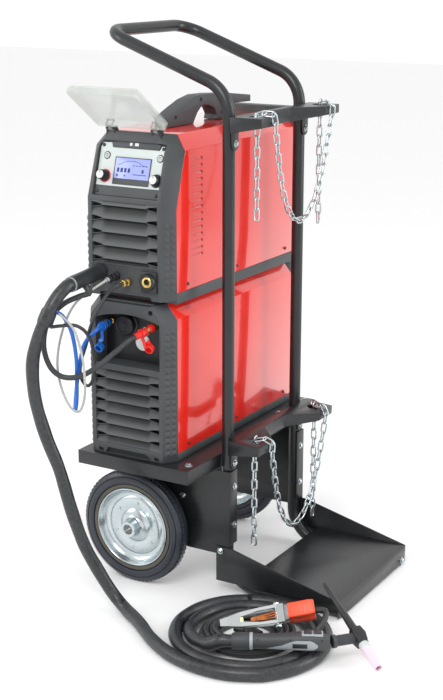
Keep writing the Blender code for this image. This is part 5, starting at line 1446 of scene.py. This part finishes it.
def torch():
    span = HANDLE_FRONT - HANDLE_REAR
    reach = span.length
    axes = axes_at(HANDLE_REAR, span, (0, 0, 1))
    sections = [oval(*station) for station in HANDLE_SHAPE] + [oval(reach, 0.0118, 0.0120)]
    grey = LOOKS["bezel_plastic"]
    shell = loft(sections, axes)
    pieces = [piece("torch_handle_shell", shell, TROLLEY, "black_plastic", ["torch_handle"], grey, 60)]
    profile = [(0.0150, 0.0345), (0.0166, 0.0345), (0.0170, 0.0370), (0.0166, 0.0405), (0.0148, 0.0405)]
    collar = lathe(profile, HANDLE_REAR, span, 44)
    pieces.append(piece("torch_collar", collar, TROLLEY, "black_plastic", (), PALE_GREY))
    inlay = shell_patch(axes, [
        (0.068, -0.0085, -0.0080), (0.096, -0.0112, -0.0010), (0.112, -0.0112, 0.0060),
        (0.122, -0.0112, 0.0090), (0.150, -0.0112, 0.0090), (0.156, -0.0100, 0.0070),
        (0.164, -0.0040, 0.0005),
    ], 0.0007)
    pieces.append(piece("torch_inlay", inlay, TROLLEY, "black_plastic", (), PALE_GREY))
    slot = shell_patch(axes, [(u, -0.0060, 0.0030) for u in (0.116, 0.130, 0.144)], 0.0011)
    pieces.append(piece("torch_inlay_slot", slot, TROLLEY, "black_plastic"))
    keys = placed(block((0.1330, -0.0100, 0.0140), (0.1740, 0.0100, 0.0194), 0.0022, 3), axes)
    pieces.append(piece("torch_key_plate", keys, TROLLEY, "black_plastic", (), PALE_GREY))
    pair = placed(block((0.1375, -0.0072, 0.0150), (0.1525, 0.0072, 0.0226), 0.0012), axes)
    pair = join(pair, placed(block((0.1560, -0.0072, 0.0150), (0.1710, 0.0072, 0.0226), 0.0012), axes))
    key = piece("torch_keys", pair, "trigger", "hose_rubber", ["torch_trigger"])
    dots = []
    # Near-black dots for the handle's screw holes: painted shade in the holes.
    for u in (0.050, 0.112, 0.172):
        out = axes.to_3x3() @ Vector((0, -1, 0.65))
        profile = [(0, 0), (0.0019, 0), (0.0019, 0.0006), (0, 0.0006)]
        dots.append(lathe(profile, axes @ Vector((u, -0.0140, 0.0095)), out, 16))
    pieces.append(piece("torch_screws", join(*dots), TROLLEY, "black_plastic", (), PAINTED_HOLE_SHADE))
    along = (CUP_END - HEAD_AT).normalized()
    neck = (HEAD_AT - HANDLE_FRONT).normalized()
    profile = [(0.0106, 0), (0.0128, 0.0005), (0.0128, 0.0070), (0.0106, 0.0085)]
    ring = lathe(profile, HANDLE_FRONT + neck * 0.004, neck, 36)
    pieces.append(piece("torch_neck_ring", ring, TROLLEY, "black_plastic", (), grey))
    box_axes = axes_at(HEAD_AT, along, neck.cross(along))
    corners = [(-0.019, y, z) for y in (-0.0095, 0.0105) for z in (-0.0125, 0.0125)]
    corners += [(0.0185, y, z) for y in (-0.0085, 0.0095) for z in (-0.0115, 0.0115)]
    corners += [(0.0, y, z) for y in (-0.0125, 0.0135) for z in (-0.0130, 0.0130)]
    head = placed(hull(corners, 0.0016, 3), box_axes)
    pieces.append(piece("torch_head_block", head, TROLLEY, "black_plastic"))
    profile = [(0.0020, 0.0185), (0.0098, 0.0185), (0.0100, 0.0200)]
    profile += [(0.0100, 0.0285), (0.0092, 0.0300), (0.0020, 0.0300)]
    white = lathe(profile, HEAD_AT, along, 36)
    pieces.append(piece("torch_insulator", white, TROLLEY, "pink_ceramic", (), PANEL_WHITE))
    total = (CUP_END - HEAD_AT).length
    profile = [(0.0050, 0.0295), (0.0088, 0.0295), (0.0090, 0.0320), (0.0086, 0.0450)]
    profile += [(0.0080, total - 0.001), (0.0076, total), (0.0062, total), (0.0058, total - 0.002)]
    profile.append((0.0054, 0.0450))
    cup = lathe(profile, HEAD_AT, along, 40)
    pieces.append(piece("ceramic_cup_shape", cup, TROLLEY, "pink_ceramic", ["ceramic_cup"]))
    rod = drum(HEAD_AT + along * 0.030, HEAD_AT + along * (total - 0.0005), 0.0012, 0.0003, 16)
    pieces.append(piece("tungsten", rod, TROLLEY, "grey_metal"))
    return pieces, key


def clamp_half(name, side, body, node):
    axes = clamp_axes()
    length = (CLAMP_END - CLAMP_TIP).length

    def at(x, y, z):
        return axes @ Vector((x, y, side * z))

    outline = [(0.000, 0.0066), (0.014, 0.0088), (0.040, 0.0140)]
    outline += [(0.078, 0.0168), (0.112, 0.0182), (0.126, 0.0176)]
    low_z = [0.0030, 0.0042, 0.0072, 0.0098, 0.0112, 0.0136]
    bm = bmesh.new()
    opening = {0.040: 0.0045, 0.078: 0.0115, 0.112: 0.0120}
    for (x0, y0), (x1, y1), z0, z1 in zip(outline, outline[1:], low_z, low_z[1:]):
        gap0, gap1 = opening.get(x0), opening.get(x1)
        spans = [((-y0, y0), (-y1, y1))]
        if gap0 and gap1:
            spans = [((-y0, -gap0), (-y1, -gap1)), ((gap0, y0), (gap1, y1))]
        for (a0, b0), (a1, b1) in spans:
            strip = hull([
                at(x, y, z + rise)
                for x, ys, z in ((x0, (a0, b0), z0), (x1, (a1, b1), z1))
                for y in ys
                for rise in (0.0, 0.0016)
            ])
            bm = join(bm, strip)
    for edge in (-1, 1):
        for (x0, y0), (x1, y1), z0, z1 in zip(outline, outline[1:], low_z, low_z[1:]):
            wall = hull([
                at(x, edge * (y - inset), z + drop)
                for x, y, z in ((x0, y0, z0), (x1, y1, z1))
                for inset in (0.0, 0.0015)
                for drop in (-0.0024, 0.0008)
            ])
            bm = join(bm, wall)
    plate = piece(name + "_plate", bm, body, "steel", [node], surface=LOOKS["grey_metal"])
    corners = []
    for tip_z, root_z in ((0.0008, 0.0008), (0.0036, 0.0066)):
        for x, half, z in ((0.002, 0.0048, tip_z), (0.046, 0.0078, root_z)):
            corners += [at(x, -half, z), at(x, half, z)]
    inner = [hull(corners, 0.0006)]
    for i in range(7):
        x = 0.006 + 0.006 * i
        corners = [at(x + dx, y, z) for dx in (0, 0.003) for y in (-0.0050, 0.0050) for z in (0.0003, 0.0012)]
        inner.append(hull(corners))
    jaw = piece(name + "_jaw", join(*inner), body, "brass")
    arm = hull(
        [at(0.118, y, z) for y in (-0.0160, 0.0160) for z in (0.0100, 0.0116)]
        + [at(length - 0.030, y, z) for y in (-0.0120, 0.0120) for z in (0.0180, 0.0196)], 0.0004,
    )
    steel = piece(name + "_arm", arm, body, "steel", surface=LOOKS["grey_metal"])
    boot = hull(
        [at(length - 0.052, y, z) for y in (-0.0142, 0.0142) for z in (0.0122, 0.0246)]
        + [at(length - 0.010, y, z) for y in (-0.0145, 0.0145) for z in (0.0165, 0.0300)]
        + [at(length, y, z) for y in (-0.0130, 0.0130) for z in (0.0178, 0.0305)], 0.0022, 3,
    )
    for i in range(4):
        x = length - 0.044 + 0.0100 * i
        heights = (0.0220 + 0.0012 * i, 0.0262 + 0.0012 * i)
        corners = [at(x + dx, y, z) for dx in (0, 0.0028) for y in (-0.0120, 0.0120) for z in heights]
        boot = join(boot, hull(corners, 0.0006))
    grip = piece(name + "_grip", boot, body, "red_plastic", (), ORANGE)
    return [plate, jaw, steel, grip]


def clamp():
    upper = clamp_half("clamp_upper", 1, "clamp_jaw", "earth_clamp_jaw_upper")
    lower = clamp_half("clamp_lower", -1, TROLLEY, "earth_clamp_jaw_lower")
    axes = clamp_axes()

    def on_pivot(y):
        return axes @ Vector((CLAMP_PIVOT, y, 0))

    pin = [drum(on_pivot(-0.0205), on_pivot(0.0205), 0.0028)]
    for side in (-1, 1):
        pin.append(bolt(on_pivot(side * 0.0186), axes.to_3x3() @ Vector((0, side, 0)), 0.0050))
    for turn in range(6):
        start = on_pivot(-0.0075 + 0.0026 * turn)
        pin.append(hoop(0.0046, 0.0064, 0, 0.0016, start, axes.to_3x3() @ Vector((0, 1, 0)), 24))
    pivot = piece("clamp_pivot", join(*pin), TROLLEY, "zinc")
    strands = []
    for k in range(7):
        y = -0.0045 + 0.0015 * k
        over = 0.0058 if k % 2 else -0.0060
        route = [
            (0.060, y * 0.5, -0.0050), (0.085, y, -0.0040), (0.112, y * 1.8, over),
            (0.135, y, -0.0030), (0.152, y * 0.6, -0.0040),
        ]
        points = smooth_route([axes @ Vector(point) for point in route], 0.004)
        strands += [drum(p, q, 0.0016, 0.0002, 10) for p, q in zip(points, points[1:])]
    braid = piece("clamp_braid", join(*strands), TROLLEY, "brass", (), COPPER)
    return upper + lower + [pivot, braid]


def earth_plug():
    low = COIL_AT + Vector((-0.030, 0, 0.0145))
    profile = [(0, 0), (0.0066, 0), (0.0066, 0.006), (0.0070, 0.0065), (0.0120, 0.0070), (0.0138, 0.0100)]
    profile += [(0.0138, 0.0260), (0.0120, 0.0280), (0.0128, 0.0320), (0.0115, 0.0480), (0.0086, 0.0590)]
    profile.append((0, 0.0600))
    body = [lathe(profile, low, (1, 0, 0), 40)]
    for i in range(12):
        a = 2 * math.pi * i / 12
        rib = block((0.010, -0.0008, 0.0132), (0.027, 0.0008, 0.0144), 0.0003, 1)
        body.append(placed(rib, Matrix.Translation(low) @ Matrix.Rotation(a, 4, "X")))
    return piece("earth_plug_shape", join(*body), TROLLEY, "black_plastic", ["earth_plug"])


def ties():
    """Straps round the coil and the wrap where the small hoses join the bundle."""
    for turn in (118, 196):
        a = math.radians(turn)
        at = COIL_AT + Vector((0.131 * math.cos(a), 0.131 * math.sin(a), 0.0133))
        along = Vector((-math.sin(a), math.cos(a), 0))
        round_angles = [2 * math.pi * i / 36 for i in range(36)]
        ring = []
        for x in (-0.004, 0.004):
            ring.append([(x, 0.0275 * math.cos(b), 0.0139 * math.sin(b)) for b in round_angles])
        inner = [[(x, y * 0.955, z * 0.93) for x, y, z in side] for side in ring]
        bm = bmesh.new()
        axes = axes_at(at, along, (0, 0, 1))
        outlines = (ring[0], ring[1], inner[1], inner[0])
        loops = [[bm.verts.new(axes @ Vector(p)) for p in outline] for outline in outlines]
        for first, second in zip(loops, loops[1:] + loops[:1]):
            for i in range(36):
                j = (i + 1) % 36
                bm.faces.new((first[i], first[j], second[j], second[i]))
        piece(f"coil_tie_{turn}", bm, TROLLEY, "black_plastic")
    profile = [(0.0136, 0), (0.0152, 0.0010), (0.0158, 0.0060)]
    profile += [(0.0160, 0.0240), (0.0150, 0.0300), (0.0136, 0.0310)]
    wrap = lathe(profile, Vector((-0.2390, -0.4255, 0.6400)), Vector((-0.016, -0.006, -0.040)), 40)
    piece("bundle_wrap", wrap, TROLLEY, "hose_rubber", (), HOSE_COVER)
    elbow = [TORCH_PLUG[0].lerp(TORCH_PLUG[1], 0.60) + Vector((0.004, 0, -0.010))]
    elbow += [Vector((-0.2105, -0.3340, 0.6640)), Vector((-0.2135, -0.3350, 0.6575))]
    curve_piece("bundle_tee", smooth_route(elbow, 0.003), 0.0072, TROLLEY, "hose_rubber")


# ---------------------------------------------------------------- assembly

small_hose("coolant_red", "coolant_hose_red", RED_COUPLING, 0.012, RED_ROUTE, 0.0055, "hose_rubber")
small_hose("coolant_blue", "coolant_hose_blue", BLUE_COUPLING, 0.010, BLUE_ROUTE, 0.0040, "blue_plastic")
small_hose("gas_supply", "gas_hose", GAS_FITTING, 0.009, GAS_ROUTE, 0.0035, "hose_rubber")
small_hose("control_lead", "control_cable", CONTROL_PLUG, 0.007, CONTROL_ROUTE, 0.0025, "grey_cable")
TORCH_PIECES, TORCH_KEY = torch()
torch_cord()
earth_cord(clamp() + [earth_plug()])
ties()
trolley()
wheels()
chain("upper_chain_links", "upper_chain", 1.001, 1.001, (0.800, 0.752), 0.221)
chain("lower_chain_links", "lower_chain", 0.341, 0.338, (0.110, 0.080), 0.221)
power_bezel()
cooler_bezel()
cases()
panel()
connections()
cooler_details()
rear()

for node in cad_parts.values():
    for holder in node.material_slots:
        slot_name = holder.material.name.split(".")[0]
        holder.material = LOOKS.get(slot_name, LOOKS["black_plastic"])
